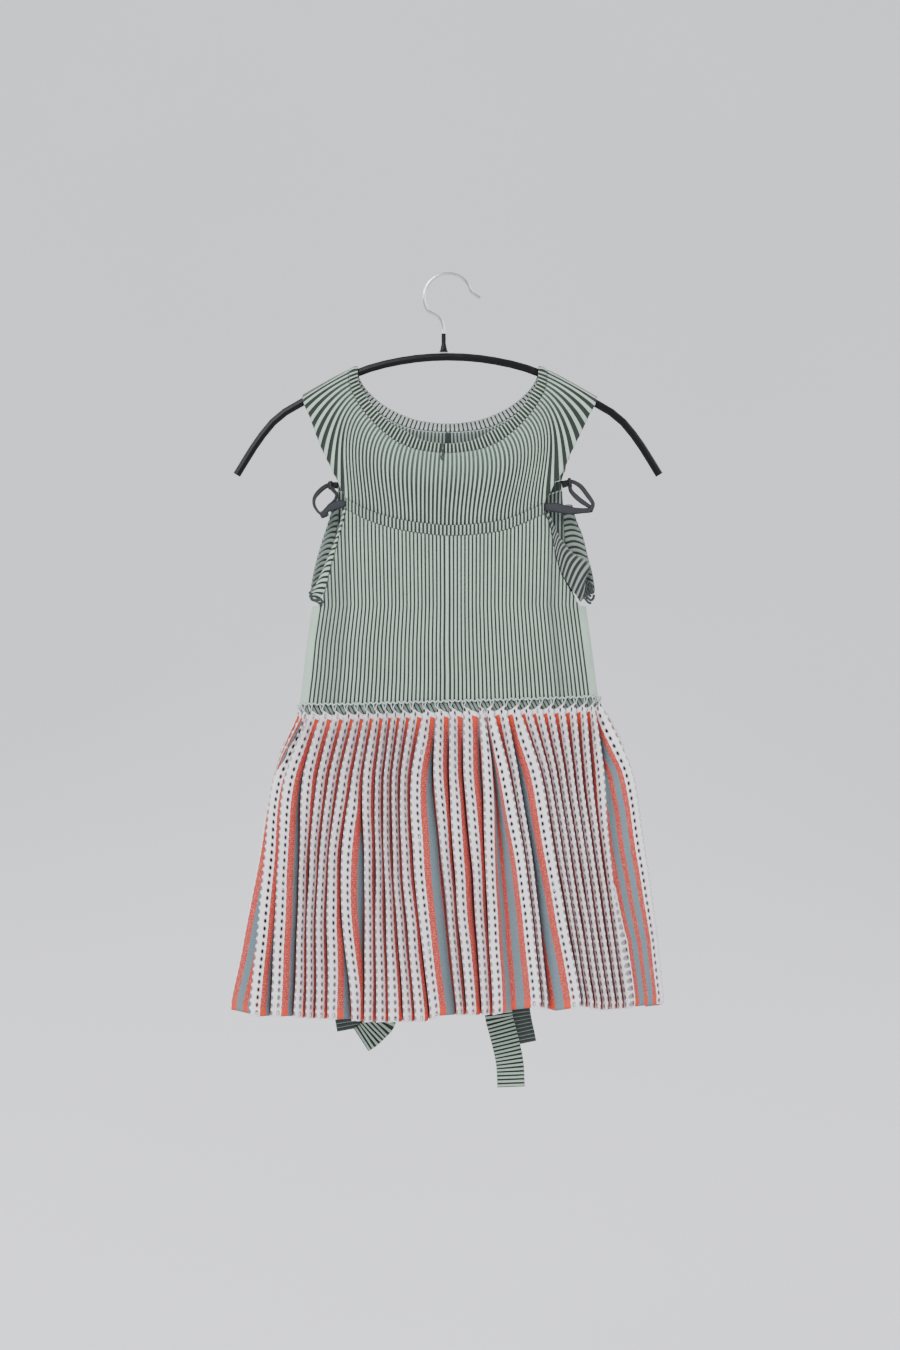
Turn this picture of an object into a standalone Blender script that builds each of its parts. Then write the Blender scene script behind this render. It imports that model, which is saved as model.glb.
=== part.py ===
"""Models a sleeveless rib-knit dress with a pleated skirt, hanging on a wire-hooked clothes hanger.

Tables and names hold millimetres. The hook's inner top is the origin, +Z is up, and the front of
the dress faces -Y. Left and right are the viewer's, so left is -X.
"""

import math

import bmesh
import bpy
import numpy as np

MM = 0.001

# Walls, seams and ribs
WALL = 1.8
SKIRT_WALL = 1.3
STRIP_WALL = 1.2
RIBBON_WALL = 1.0
SEAM_GAP = 0.3
RIB_RAISE = 0.5
INNER_STEP = 4  # rib columns to one column of the plain inside
FOLD_COLUMNS = 5  # columns that the inside keeps where the cloth folds over the hanger
AT_FOLD = 0.9999  # share of a yoke's half from which a column lies on that fold
LOOP_END = 4.0  # place at the end of a loop round a grid, one for each side

# Hanger: a coated tube with a chrome wire hook
TUBE_RADIUS = 3.85
BOW_HALF = ((0, -78.9), (44, -82.6), (88.5, -94.8), (140.5, -122.7), (164.6, -138.1),
            (183.4, -160.7), (203.3, -192.5))
BOW_POINTS = 33
HOOK_POINTS = 30
HOOK_ARC_POINTS = 22
WIRE_RADIUS = 1.45
HOOK_RADIUS = 23.1
HOOK_ARC = (13, 215)  # degrees, from the open side over the top
HOOK_STEM = ((-8.4, -41), (-4.9, -47.5), (-4.2, -52), (-4.2, -56.2))
HOOK_TIP = (30.6, -22.2)
SLEEVE_X = -4.2
SLEEVE_PROFILE = ((2.2, -56.6), (2.2, -66), (3.4, -72), (4.6, -74.3))  # radius, height

# Cloth depth: how far the front lies from the middle plane, by the drop below the shoulder
HANGER_GAP = 0.65
WRAP_RADIUS = TUBE_RADIUS + HANGER_GAP + WALL
SHOULDER_Z = -100
FULLNESS_DROP = (0, 60, 220, 320)
FULLNESS = (0, 1.0, 2.5, 4.0)
CROWN = 3.0
CROWN_DROP = 60

# Bodice silhouette: height, left edge, right edge
BODICE_OUTLINE = ((-80, -137, 138), (-250, -134, 135.5), (-318, -130.5, 132.5), (-354, -136, 137.5),
                  (-386, -139, 141.8), (-414, -142.6, 145.2))
WAIST_LINE = ((-143, -413.8), (-99, -413.8), (0, -410.9), (98, -408.1), (146, -406.1))

# Neckline halves, from the middle to the fold over the hanger
FRONT_NECK_INNER = ((0, -163), (9.8, -162.4), (24.6, -159.5), (41.4, -150.6), (54.1, -143.8),
                    (67.8, -131.8), (79.6, -115.3), (85.5, -103.5), (87, -88.5))
FRONT_NECK_OUTER = ((0, -172), (19.7, -170.3), (33.7, -167.5), (50, -160.4), (63.9, -149.7),
                    (75.6, -137.9), (86.6, -123.2), (94, -107.4), (95.5, -91))
BACK_NECK_INNER = ((0, -142.2), (9.8, -141.8), (29.5, -138.9), (44.3, -133.8), (57.9, -127),
                   (68.8, -119.3), (79.6, -108.4), (85.5, -98), (87, -88.5))
BACK_NECK_OUTER = ((0, -150.8), (24.6, -149.2), (39.5, -146.3), (50, -142.3), (64, -134.5),
                   (76, -124), (87, -111), (93.5, -100), (95.5, -91))
NECK_RIBS = 70
NECKBAND_RIBS = (72, 56)  # front, back
BAND_SHARE = 0.73  # share of the neckline's ribs that reach the drawn band
EDGE_CROWDING = 1.5  # ribs end closer together on the armhole edge towards the shoulder

# Front yoke: the band that a ribbon is drawn through, and the armholes above it
FRONT_BAND_TOP = ((-97.2, -216.1), (-74.1, -227.5), (-44.8, -235.8), (-15.6, -240), (1, -241.1),
                  (26, -240), (57.5, -234.8), (91.8, -220.4))
BAND_HEIGHT = 10.4
BAND_RIBS = 52
BAND_PROUD = 0.6
FRONT_ARM_LEFT = ((-97.2, -216.1), (-102, -208), (-106.8, -197.3), (-111.1, -188.6),
                  (-123.2, -163.6), (-132.8, -137.6), (-137.6, -127), (-140, -118))
FRONT_ARM_RIGHT = ((91.8, -220.4), (97.7, -210.4), (103.6, -198.3), (109.7, -190.6), (118, -172),
                   (127.4, -153), (136.3, -134.4), (141, -126), (143.4, -118))

# Back yoke, as the front one with a shorter drop
BACK_BAND_TOP = ((-106.5, -197), (-80, -206), (-45, -213), (-15, -216.3), (0, -216.8),
                 (15, -216.3), (45, -213), (80, -206), (110, -196.5))
BACK_ARM_LEFT = ((-106.5, -197), (-107.5, -188), (-114, -170), (-124, -150), (-131, -136),
                 (-137, -126), (-140, -118))
BACK_ARM_RIGHT = ((110, -196.5), (113, -186), (118, -172), (127.4, -153), (136.3, -134.4),
                  (141, -126), (143.4, -118))

# Lower armhole edges of the panels, from the band down to the side seam
FRONT_PANEL_LEFT = ((-97.8, -229.5), (-99.6, -237.4), (-103.8, -252.1), (-107.2, -265.9),
                    (-111.6, -282.6), (-115, -298.1), (-119.5, -312.5), (-124, -319),
                    (-131.8, -319.5), (-150, -319.5))
FRONT_PANEL_RIGHT = ((92.4, -232.5), (95.7, -236), (98.6, -248), (102.6, -271.4), (108.5, -288.7),
                     (116.5, -303), (123.2, -314), (127, -318.5), (134.7, -319), (150, -319))
BACK_PANEL_LEFT = ((-107, -209), (-107.8, -232), (-111, -262), (-116, -290), (-121, -314.4),
                   (-124, -319), (-131.8, -319.5), (-150, -319.5))
BACK_PANEL_RIGHT = ((110.6, -209), (111.4, -232), (114, -262), (118, -290), (122, -314),
                    (126, -318.5), (134.7, -319), (150, -319))
YOKE_ROWS = 5
PANEL_ROWS = 3
PLAIN_SIDE = 5  # plain columns at each side of a lower panel
PLAIN_SHARE = 0.065  # of a panel's width, plain at each side
PANEL_FIT_STEPS = 6
BAND_LINE_POINTS = 40
WAIST_RIBS = 68

# Armhole bands: sewn edge x and z, free edge x and z, and how far in depth the free edge turns in
LEFT_ARM_BAND = (
    (-101.6, -231.5, -104.2, -233, 5.6), (-102.6, -238, -105.4, -240.5, 5.4),
    (-106.4, -252.1, -109.2, -254.5, 5), (-109.8, -266, -114, -268.7, 4.8),
    (-114.2, -282.6, -119.6, -282.6, 4.6), (-117.6, -298.1, -125.6, -296, 4),
    (-121.9, -309, -130.8, -306, 3.4), (-124.5, -314, -131.9, -309.5, 3))
RIGHT_ARM_BAND = (
    (96.8, -236.5, 99.5, -238, 4), (99.7, -248, 107, -251, 3), (103.8, -271.4, 116, -265, 2.2),
    (109.9, -288.7, 129.5, -276, 2.2), (118.4, -302.5, 137.5, -289, 2.2), (126.2, -313, 139, -305, 2.2))
LEFT_ARM_BAND_BACK = (
    (-109.6, -231.5, -113.5, -231, 2.2), (-110.3, -236, -115.5, -237, 2.2),
    (-112.3, -255, -120.5, -253, 2.2),
    (-115.2, -276, -127, -275, 2.2), (-119.5, -295, -130.5, -292, 2.2), (-124.8, -311, -133, -305, 2.2))
RIGHT_ARM_BAND_BACK = (
    (114.5, -232, 121.5, -231, 2.2), (115.5, -236, 123, -236, 2.2), (117.5, -255, 129.5, -252, 2.2),
    (119, -276, 134, -271, 2.2), (121.7, -295, 136.5, -288, 2.2), (125.6, -311, 138.5, -303, 2.2))
ARM_BAND_POINTS = 26
ARM_BAND_BULGE = 1.6
ARM_BAND_SET_IN = 0.3
ARM_BAND_TURN = (1.0, 1.4, 1.2, 2.0)  # under the arm: sewn edge out and down, free edge out and down

# Skirt rings: height, left edge, right edge, depth at the sides, crown in the middle, pleat depth
SKIRT_RINGS = (
    (-417.0, -143.9, 146.3, 10.2, 3.0, 1.3),
    (-432.0, -150.5, 158.0, 15.0, 3.0, 6.2),
    (-455.0, -163.0, 170.0, 21.5, 3.5, 19.0),
    (-500.0, -174.0, 183.5, 26.0, 3.5, 22.0),
    (-563.0, -184.4, 191.2, 29.0, 4.0, 22.0),
    (-700.0, -210.3, 209.6, 36.0, 4.0, 22.0))
WAIST_TIP_DROP = 3.5  # pleat tips below the bodice's hem
WAIST_VALLEY_DROP = 11.0
PLEAT_CLOTH = 53.0  # cloth in one pleat, ridge to ridge
SHALLOWEST_PLEAT = 9.0
CREST_SHARE, CREST_MOST = 0.17, 2.0
TROUGH_SHARE, TROUGH_MOST = 0.11, 1.3
LEAN_CHANGE_X = 42  # the pleats lean away from this line
LEAN = 0.68
TROUGH_ROOM = 4.5
SKIRT_SEAM_Y = 0.8
SEAM_DEPTH_SHARE = 0.55
MITRE_LEAST, MITRE_MOST = 0.1, 1.5  # cosine and stretch that limit a corner's mitre
HEM_LINE = ((-205, -706.4), (-181, -710.3), (-152, -710.3), (-133, -712.2), (-94, -713.1),
            (-80, -715), (-22, -715), (-8, -709.3), (40, -708.3), (60, -705.4), (84, -700.6),
            (103, -705.4), (127, -700.6), (146, -704.5), (209, -700.6))
BACK_HEM_DROP = 2.5

# Front pleats, left to right: ridge x at the waist, hip, thigh and hem
PLEAT_HEIGHTS = (-417, -486, -563, -700)
FRONT_PLEATS = (
    (-143.4, -170.5, -183.5, -209.6), (-139, -166, -174, -186), (-132, -154, -159, -165),
    (-121, -136, -138, -143), (-109, -122, -129, -132), (-98, -111, -120, -122.5),
    (-88, -101, -110.5, -111), (-79, -89, -99, -88), (-70, -78, -76, -76), (-61, -66, -65.5, -65),
    (-53, -58, -57, -53), (-44.5, -50, -48.5, -39), (-35, -42, -40, -28), (-23, -32, -29, -14),
    (-11, -10, -2, 12), (2, 5, 9, 21), (15, 19, 26, 35.5), (30, 37, 39, 46), (42, 56, 69.5, 85),
    (55, 64.5, 78, 93), (67, 86, 100, 122.5), (78, 93.5, 107.5, 130), (89, 101, 114.8, 137.2),
    (100, 108.7, 122, 144.4), (111, 117, 129.2, 151.6), (122, 125, 137, 158.8),
    (132, 134, 144.5, 166), (140, 146, 153, 175), (145.8, 175, 187, 207))
BACK_PLEATS = 26
BACK_PLEAT_SWAY = 1.6

# Waist strip, seen between the pleat tips
STRIP_TOP, STRIP_BOTTOM = -404.0, -430.0
STRIP_GAP = 0.35

# Ribbon straps, drawn through sliders: x, depth, height
LEFT_RIBBON = ((-99.2, -7.5, -220.9), (-106, -8.6, -221.8), (-115.3, -9.2, -226))
LEFT_LOOP_OUT = ((-125.9, -8.2, -229.6), (-129.4, -7.2, -223.5), (-130.1, -5.6, -217),
                 (-128, -3, -210.3), (-122, 0.5, -204.8), (-117.2, 3.2, -202.6))
LEFT_LOOP_IN = ((-110.8, 2, -206.6), (-107.4, 0.6, -211), (-108.2, -2, -215.6), (-111.4, -4.4, -219.6),
                (-115, -6, -222.6))
LEFT_RIBBON_BACK = ((-109.4, 6, -202), (-107.2, 7.4, -202.2))
RIGHT_RIBBON = ((94.4, -7.5, -223.8), (104.5, -8.4, -224.6), (118.5, -9, -227.4), (133.8, -9, -227.2))
RIGHT_LOOP_OUT = ((139, -5.4, -219.8), (133.5, -3.6, -211.5), (127.5, -1, -203.6),
                  (120.9, 2.4, -199.2))
RIGHT_LOOP_IN = ((132.6, -6.2, -221.2), (125.5, -4, -216), (119.6, -1.5, -210), (117.6, 2.6, -205.8))
RIGHT_RIBBON_BACK = ((114.9, 5.6, -200.2), (111.3, 7.3, -201.2))
STRAPS = (("strap_left_front", LEFT_RIBBON, 7.6), ("strap_left_loop_outer", LEFT_LOOP_OUT, 4.2),
          ("strap_left_loop_inner", LEFT_LOOP_IN, 3.0), ("strap_left_back", LEFT_RIBBON_BACK, 6.6),
          ("strap_right_front", RIGHT_RIBBON, 7.6), ("strap_right_loop_outer", RIGHT_LOOP_OUT, 4.2),
          ("strap_right_loop_inner", RIGHT_LOOP_IN, 4.6), ("strap_right_back", RIGHT_RIBBON_BACK, 6.6))

# Sliders: name, middle, turn in the front view, length along the strap and height across it
SLIDERS = (("slider_left_front", (-119, -8.0, -230.4), 24, 8.4, 7.4),
           ("slider_left_back", (-113.2, 4.6, -202.2), 6, 5.4, 8.6),
           ("slider_right_front", (137.9, -7.6, -224.7), -22, 4.4, 8.8),
           ("slider_right_back", (117.4, 4.4, -199.7), 8, 3.9, 9.6))
SLIDER_DEPTH = 3.4
SLIDER_ROUNDING = 1.0

# Ties of rib-knit band, 27 mm wide, sewn on at the back of the waist
TIE_WIDTH = 27.0
TIE_WALL = 1.6
TIE_POINTS = 18
TIE_LAYER = 2.9
NEAR_LAYER = 0.8
TIE_SEAM_Z = -412.0
LAYER_FULL_Z = -438.0
SKIRT_CLEAR = 2.6  # from the middle of the pleats' ridges to a tie
RIGHT_TIE = ((38, -406), (38.5, -417), (41, -470), (45, -560), (48, -650), (49, -712), (54, -735),
             (60, -762), (61.5, -787))
RIGHT_TIE_END = ((67, -406), (67, -417), (67, -520), (66, -640), (66, -705), (73, -745))
LEFT_TIE_DOWN = ((-92, -406), (-92, -417), (-95, -500), (-98.5, -600), (-100, -690), (-97.5, -716),
                 (-95, -731))
LEFT_TIE_UP = ((-58, -406), (-58, -417), (-57, -520), (-60, -640), (-62, -712), (-72, -731), (-85, -741))


def clear_scene():
    for thing in list(bpy.data.objects):
        bpy.data.objects.remove(thing, do_unlink=True)


def material(name, colour, roughness, metallic=0.0):
    """Returns the named Principled material, made on first use."""
    found = bpy.data.materials.get(name)
    if found:
        return found
    made = bpy.data.materials.new(name)
    made.use_nodes = True
    shader = made.node_tree.nodes["Principled BSDF"]
    shader.inputs["Base Color"].default_value = (*colour, 1)
    shader.inputs["Roughness"].default_value = roughness
    shader.inputs["Metallic"].default_value = metallic
    return made


def mint_knit():
    return material("mint_knit", (0.43, 0.55, 0.47), 0.85)


def charcoal_knit():
    return material("charcoal_knit", (0.13, 0.16, 0.15), 0.9)


def pleat_knit():
    return material("pleat_knit", (0.72, 0.56, 0.54), 0.85)


def grey_ribbon():
    return material("grey_ribbon", (0.10, 0.10, 0.11), 0.5)


def chrome():
    return material("chrome", (0.6, 0.6, 0.6), 0.2, 1.0)


def black_coating():
    return material("black_coating", (0.02, 0.02, 0.022), 0.45)


def make_object(name, points, faces, finish):
    """Makes one closed mesh from millimetre points, with its faces turned outward."""
    mesh = bpy.data.meshes.new(name)
    mesh.from_pydata([[value * MM for value in point] for point in points], [], faces)
    shape = bmesh.new()
    shape.from_mesh(mesh)
    bmesh.ops.recalc_face_normals(shape, faces=shape.faces)
    if shape.calc_volume(signed=True) < 0:
        bmesh.ops.reverse_faces(shape, faces=shape.faces)
    shape.to_mesh(mesh)
    shape.free()
    mesh.materials.append(finish)
    mesh.shade_smooth()
    mesh.set_sharp_from_angle(angle=math.radians(50))
    made = bpy.data.objects.new(name, mesh)
    bpy.context.collection.objects.link(made)
    return made


def smooth_line(points, shares):
    """Points at the given shares of the length of a smooth curve through points."""
    points = np.array(points, float)
    ends = np.vstack([2 * points[0] - points[1], points, 2 * points[-1] - points[-2]])
    fine = []
    for a, b, c, d in zip(ends, ends[1:], ends[2:], ends[3:]):
        for t in np.linspace(0, 1, 12, endpoint=False):
            fine.append(0.5 * (2 * b + (c - a) * t + (2 * a - 5 * b + 4 * c - d) * t ** 2
                               + (3 * b - a - 3 * c + d) * t ** 3))
    fine = np.array(fine + [points[-1]])
    lengths = np.concatenate([[0], np.cumsum(np.linalg.norm(np.diff(fine, axis=0), axis=1))])
    at = np.asarray(shares) * lengths[-1]
    return np.column_stack([np.interp(at, lengths, fine[:, k]) for k in range(fine.shape[1])])


def table_at(rows, key, value, at):
    """Reads a column of a table at a place in its key column, which may fall or rise."""
    table = np.array(rows, float)
    table = table[np.argsort(table[:, key])]
    return np.interp(at, table[:, key], table[:, value])


def mirrored(half):
    """A whole line from a half that starts in the middle, left to right."""
    return [(-x, z) for x, z in reversed(half[1:])] + list(half)


# Hanger
BOW_LINE = smooth_line(mirrored(BOW_HALF), np.linspace(0, 1, BOW_POINTS))


def bow_height(x):
    return np.interp(x, BOW_LINE[:, 0], BOW_LINE[:, 1])


def bow_tilt(x):
    """Cosine of the bow's slope at x."""
    rise = bow_height(abs(x) + 2) - bow_height(abs(x) - 2)
    return 4 / math.hypot(4, rise)


def tube_along(name, points, radius, finish, sides_resolution):
    """A round tube with filled caps, whose points are in the plane y = 0."""
    curve = bpy.data.curves.new(name, "CURVE")
    curve.dimensions = "3D"
    curve.bevel_depth = radius * MM
    curve.bevel_resolution = sides_resolution
    curve.use_fill_caps = True
    line = curve.splines.new("POLY")
    line.points.add(len(points) - 1)
    for point, (x, z) in zip(line.points, points):
        point.co = (x * MM, 0, z * MM, 1)
    curve.materials.append(finish)
    made = bpy.data.objects.new(name, curve)
    bpy.context.collection.objects.link(made)
    return made


def make_bow():
    tube_along("hanger_bow", BOW_LINE, TUBE_RADIUS, black_coating(), 3)


def make_hook():
    centre_z = WIRE_RADIUS - HOOK_RADIUS
    arc = [(HOOK_RADIUS * math.cos(math.radians(turn)),
            centre_z + HOOK_RADIUS * math.sin(math.radians(turn)))
           for turn in np.linspace(*HOOK_ARC, HOOK_ARC_POINTS)]
    route = [HOOK_TIP] + arc + list(HOOK_STEM)
    tube_along("hanger_hook", smooth_line(route, np.linspace(0, 1, HOOK_POINTS)), WIRE_RADIUS, chrome(), 2)


def make_sleeve():
    """The black sleeve that holds the hook's wire, turned about an upright axis."""
    sides = 12
    points = []
    for radius, height in SLEEVE_PROFILE:
        for side in range(sides):
            turn = 2 * math.pi * side / sides
            points.append((SLEEVE_X + radius * math.cos(turn), radius * math.sin(turn), height))
    faces = []
    for ring in range(len(SLEEVE_PROFILE) - 1):
        for side in range(sides):
            beside = (side + 1) % sides
            faces.append((ring * sides + side, ring * sides + beside,
                          (ring + 1) * sides + beside, (ring + 1) * sides + side))
    faces.append(tuple(range(sides)))
    faces.append(tuple(range(len(points) - sides, len(points))))
    make_object("hanger_sleeve", points, faces, black_coating())


# Closed walls from an outer and an inner grid of points
def zip_loops(first, second, faces):
    """Fills the strip between two closed loops of (place, point number), places from 0 to 4."""
    i = j = 0
    while i < len(first) or j < len(second):
        next_first = first[i + 1][0] if i + 1 < len(first) else LOOP_END
        next_second = second[j + 1][0] if j + 1 < len(second) else LOOP_END
        here, there = first[i % len(first)][1], second[j % len(second)][1]
        if j == len(second) or (i < len(first) and next_first <= next_second):
            faces.append((here, first[(i + 1) % len(first)][1], there))
            i += 1
        else:
            faces.append((second[(j + 1) % len(second)][1], there, here))
            j += 1


def grid_faces(rows, columns, start, wraps, faces, turned):
    for row in range(rows - 1):
        for column in range(columns if wraps else columns - 1):
            beside = (column + 1) % columns
            a, b = start + row * columns + column, start + row * columns + beside
            c, d = a + columns, b + columns
            faces.extend([(a, b, d), (a, d, c)] if not turned else [(a, d, b), (a, c, d)])


def border(rows, columns, start, places):
    """The loop round a grid: along the top, down the end, back along the bottom and up."""
    last = rows - 1
    loop = [(places[c], start + c) for c in range(columns - 1)]
    loop += [(1 + r / last, start + r * columns + columns - 1) for r in range(last)]
    loop += [(3 - places[c], start + last * columns + c) for c in range(columns - 1, 0, -1)]
    loop += [(3 + (last - r) / last, start + r * columns) for r in range(last, 0, -1)]
    return loop


def edge_ring(row, columns, start, places):
    return [(LOOP_END * places[c], start + row * columns + c) for c in range(columns)]


def wall_object(name, outer, outer_places, inner, inner_places, finish, wraps=False):
    """One closed wall between two grids, whose columns stand at the given shares of its length."""
    points = [p for row in outer for p in row] + [p for row in inner for p in row]
    rows, columns = len(outer), len(outer[0])
    inner_rows, inner_columns = len(inner), len(inner[0])
    start = rows * columns
    faces = []
    grid_faces(rows, columns, 0, wraps, faces, False)
    grid_faces(inner_rows, inner_columns, start, wraps, faces, True)
    if wraps:
        for row, inner_row in ((0, 0), (rows - 1, inner_rows - 1)):
            zip_loops(edge_ring(row, columns, 0, outer_places),
                      edge_ring(inner_row, inner_columns, start, inner_places), faces)
    else:
        zip_loops(border(rows, columns, 0, outer_places),
                  border(inner_rows, inner_columns, start, inner_places), faces)
    return make_object(name, points, faces, finish)


# Cloth depth
def fullness(z):
    drop = max(SHOULDER_Z - z, 0)
    return np.interp(drop, FULLNESS_DROP, FULLNESS), CROWN * min(1, drop / CROWN_DROP)


def bodice_ring(z):
    """Middle, flat half-width, depth at the sides and crown of the bodice at a height."""
    left = table_at(BODICE_OUTLINE, 0, 1, z)
    right = table_at(BODICE_OUTLINE, 0, 2, z)
    rise, crown = fullness(z)
    depth = WRAP_RADIUS + rise
    return (left + right) / 2, (right - left) / 2 - depth, depth, crown


def ring_point(share, ring, inward, side):
    """A point on a flattened ring, at a signed share of its half, moved inward. side -1 is front."""
    middle, flat, depth, crown = ring
    along = abs(share) * (flat + depth * math.pi / 2)
    if along <= flat:
        x, y = along, depth + crown * (1 - (along / flat) ** 2) - inward
    else:
        turn = (along - flat) / depth
        x, y = flat + (depth - inward) * math.sin(turn), (depth - inward) * math.cos(turn)
    return middle + math.copysign(x, share), side * max(y, 0)


def ring_share(x, ring):
    """The share of a ring's half that lies at x."""
    middle, flat, depth, crown = ring
    away = abs(x - middle)
    along = away if away <= flat else flat + depth * math.asin(min((away - flat) / depth, 1))
    return math.copysign(along / (flat + depth * math.pi / 2), x - middle)


def shoulder_point(x, z, inward, side, at_fold=False, seam=SEAM_GAP / 2):
    """A point on the cloth's face at x and z, wrapped over the hanger's bow near the top."""
    axis, tilt = bow_height(x), bow_tilt(x)
    radius = WRAP_RADIUS - inward
    limit = math.sqrt(radius ** 2 - seam ** 2)
    above = limit if at_fold else min((z - axis) * tilt * radius / WRAP_RADIUS, limit)
    if above > 0:
        return x, side * math.sqrt(radius ** 2 - above ** 2), axis + above / tilt
    middle, flat, depth, crown = bodice_ring(z)
    rise = crown * max(1 - ((x - middle) / flat) ** 2, 0)
    return x, side * (depth + rise - inward), z


# Yokes, whose ribs fan out from the neckband
def fan_line(start, start_way, end, end_way, shares):
    """Points along a curve that leaves start one way and reaches end another."""
    start, end = np.array(start), np.array(end)
    reach = np.linalg.norm(end - start)
    points = []
    for t in shares:
        points.append((2 * t ** 3 - 3 * t ** 2 + 1) * start + (3 * t ** 2 - 2 * t ** 3) * end
                      + (t ** 3 - 2 * t ** 2 + t) * reach * np.array(start_way)
                      + (t ** 3 - t ** 2) * reach * np.array(end_way))
    return points


def unit(vector):
    return np.array(vector) / max(np.linalg.norm(vector), 1e-9)


def yoke_column(share, neck, band_top, arm_left, arm_right):
    """The front view of one rib, from the neckband at a share of it down to the band or armhole."""
    spot, before, after = smooth_line(neck, [(share + 1) / 2, max((share + 0.98) / 2, 0),
                                             min((share + 1.02) / 2, 1)])
    along = unit(after - before)
    start_way = np.array((along[1], -along[0]))
    spot = spot + start_way * SEAM_GAP
    if abs(share) <= BAND_SHARE:
        end = smooth_line(band_top, [(share / BAND_SHARE + 1) / 2])[0]
        end_way = np.array((0.0, -1.0))
    else:
        beyond = (abs(share) - BAND_SHARE) / (1 - BAND_SHARE)
        edge = arm_left if share < 0 else arm_right
        end = smooth_line(edge, [1 - (1 - beyond) ** EDGE_CROWDING])[0]
        end_way = unit(end - spot) * beyond + np.array((0.0, -1.0)) * (1 - beyond)
    start_way = start_way * (1 - abs(share) ** 6) + unit(end - spot) * abs(share) ** 6
    return fan_line(spot, start_way, end, end_way, np.linspace(0, 1, YOKE_ROWS))


def inside_columns(columns, close):
    """Numbers of the rib columns that the plain inside keeps: all of them near both ends."""
    middle = range(close, columns - close, INNER_STEP)
    return sorted(set(range(close)) | set(middle) | set(range(columns - close, columns)))


def rib_places(ribs, close=1):
    """Shares of the length where rib crests and grooves lie, and those of the plain inside."""
    places = np.linspace(0, 1, 2 * ribs + 1)
    return places, places[inside_columns(len(places), close)]


def make_yoke(name, side, neck_half, band_top, arm_left, arm_right):
    neck = mirrored(neck_half)
    places, inner_places = rib_places(NECK_RIBS, FOLD_COLUMNS)

    def grid(column_places, inward, ribbed):
        columns = []
        for number, place in enumerate(column_places):
            share = 2 * place - 1
            raised = RIB_RAISE if ribbed and number % 2 else 0
            at_fold = abs(share) > AT_FOLD
            line = yoke_column(share, neck, band_top, arm_left, arm_right)
            columns.append([shoulder_point(x, z, inward - raised, side, at_fold) for x, z in line])
        return [list(row) for row in zip(*columns)]

    wall_object(name, grid(places, 0, True), places, grid(inner_places, WALL, False), inner_places,
                mint_knit())


def make_neckband():
    """A ribbed band round the neck, whole over the shoulders."""
    front_ribs, back_ribs = NECKBAND_RIBS
    halves = ((-1, mirrored(FRONT_NECK_INNER), mirrored(FRONT_NECK_OUTER), front_ribs),
              (1, mirrored(BACK_NECK_INNER)[::-1], mirrored(BACK_NECK_OUTER)[::-1], back_ribs))

    def rows_of(inward, raise_by):
        rows = ([], [])
        for side, inner_edge, outer_edge, ribs in halves:
            columns = range(2 * ribs) if raise_by else inside_columns(2 * ribs, FOLD_COLUMNS)
            for number in columns:
                share = number / (2 * ribs)
                raised = raise_by * (number % 2)
                for row, edge in zip(rows, (inner_edge, outer_edge)):
                    x, z = smooth_line(edge, [share])[0]
                    row.append(shoulder_point(x, z, inward - raised, side, share == 0, 0.0))
        return rows

    outer = rows_of(0, RIB_RAISE)
    inner = rows_of(WALL, 0)
    wall_object("neckband", outer, np.arange(len(outer[0])) / len(outer[0]),
                inner, np.arange(len(inner[0])) / len(inner[0]), mint_knit(), wraps=True)


def make_yoke_band(name, side, band_top):
    """The channel under a yoke, which the ribbon runs through, a little proud of the panels."""
    places, inner_places = rib_places(BAND_RIBS)

    def grid(column_places, inward, ribbed):
        rows = []
        for drop in (SEAM_GAP, BAND_HEIGHT - SEAM_GAP):
            row = []
            for number, place in enumerate(column_places):
                x, z = smooth_line(band_top, [place])[0]
                raised = RIB_RAISE if ribbed and number % 2 else 0
                row.append(shoulder_point(x, z - drop, inward - raised, side))
            rows.append(row)
        return rows

    wall_object(name, grid(places, -BAND_PROUD, True), places, grid(inner_places, WALL, False),
                inner_places, mint_knit())


# Lower panels, closed at the sides
def panel_places():
    """Column shares of a lower panel: plain ends and a ribbed middle."""
    left = np.linspace(0, PLAIN_SHARE, PLAIN_SIDE, endpoint=False)
    middle = np.linspace(PLAIN_SHARE, 1 - PLAIN_SHARE, 2 * WAIST_RIBS + 1)
    places = np.concatenate([left, middle, 1 - left[::-1]])
    inner = np.concatenate([left, middle[::INNER_STEP], 1 - left[::-1]])
    return places, inner


def make_panel(name, side, band_top, edge_left, edge_right):
    top_line = [(x, z) for x, z in reversed(edge_left)]
    under_band = smooth_line(band_top, np.linspace(0, 1, BAND_LINE_POINTS))
    top_line += [(x, z - BAND_HEIGHT) for x, z in under_band] + list(edge_right)
    places, inner_places = panel_places()
    hem_ring = bodice_ring(WAIST_LINE[0][1])
    held_in = 1 - SEAM_GAP / (2 * (hem_ring[1] + hem_ring[2]))

    def grid(column_places, inward, ribbed):
        columns = []
        for number, place in enumerate(column_places):
            share = (2 * place - 1) * held_in
            in_ribs = PLAIN_SIDE <= number < len(column_places) - PLAIN_SIDE
            raised = RIB_RAISE if ribbed and in_ribs and (number - PLAIN_SIDE) % 2 else 0
            top = SHOULDER_Z
            for _ in range(PANEL_FIT_STEPS):
                x = ring_point(share, bodice_ring(top), 0, side)[0]
                top = np.interp(x, *zip(*top_line))
            x = ring_point(share, hem_ring, 0, side)[0]
            bottom = np.interp(x, *zip(*WAIST_LINE))
            column = []
            for z in np.linspace(top, bottom, PANEL_ROWS):
                x, y = ring_point(share, bodice_ring(z), inward - raised, side)
                column.append((x, y, z))
            columns.append(column)
        return [list(row) for row in zip(*columns)]

    wall_object(name, grid(places, 0, True), places, grid(inner_places, WALL, False), inner_places,
                mint_knit())


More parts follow.
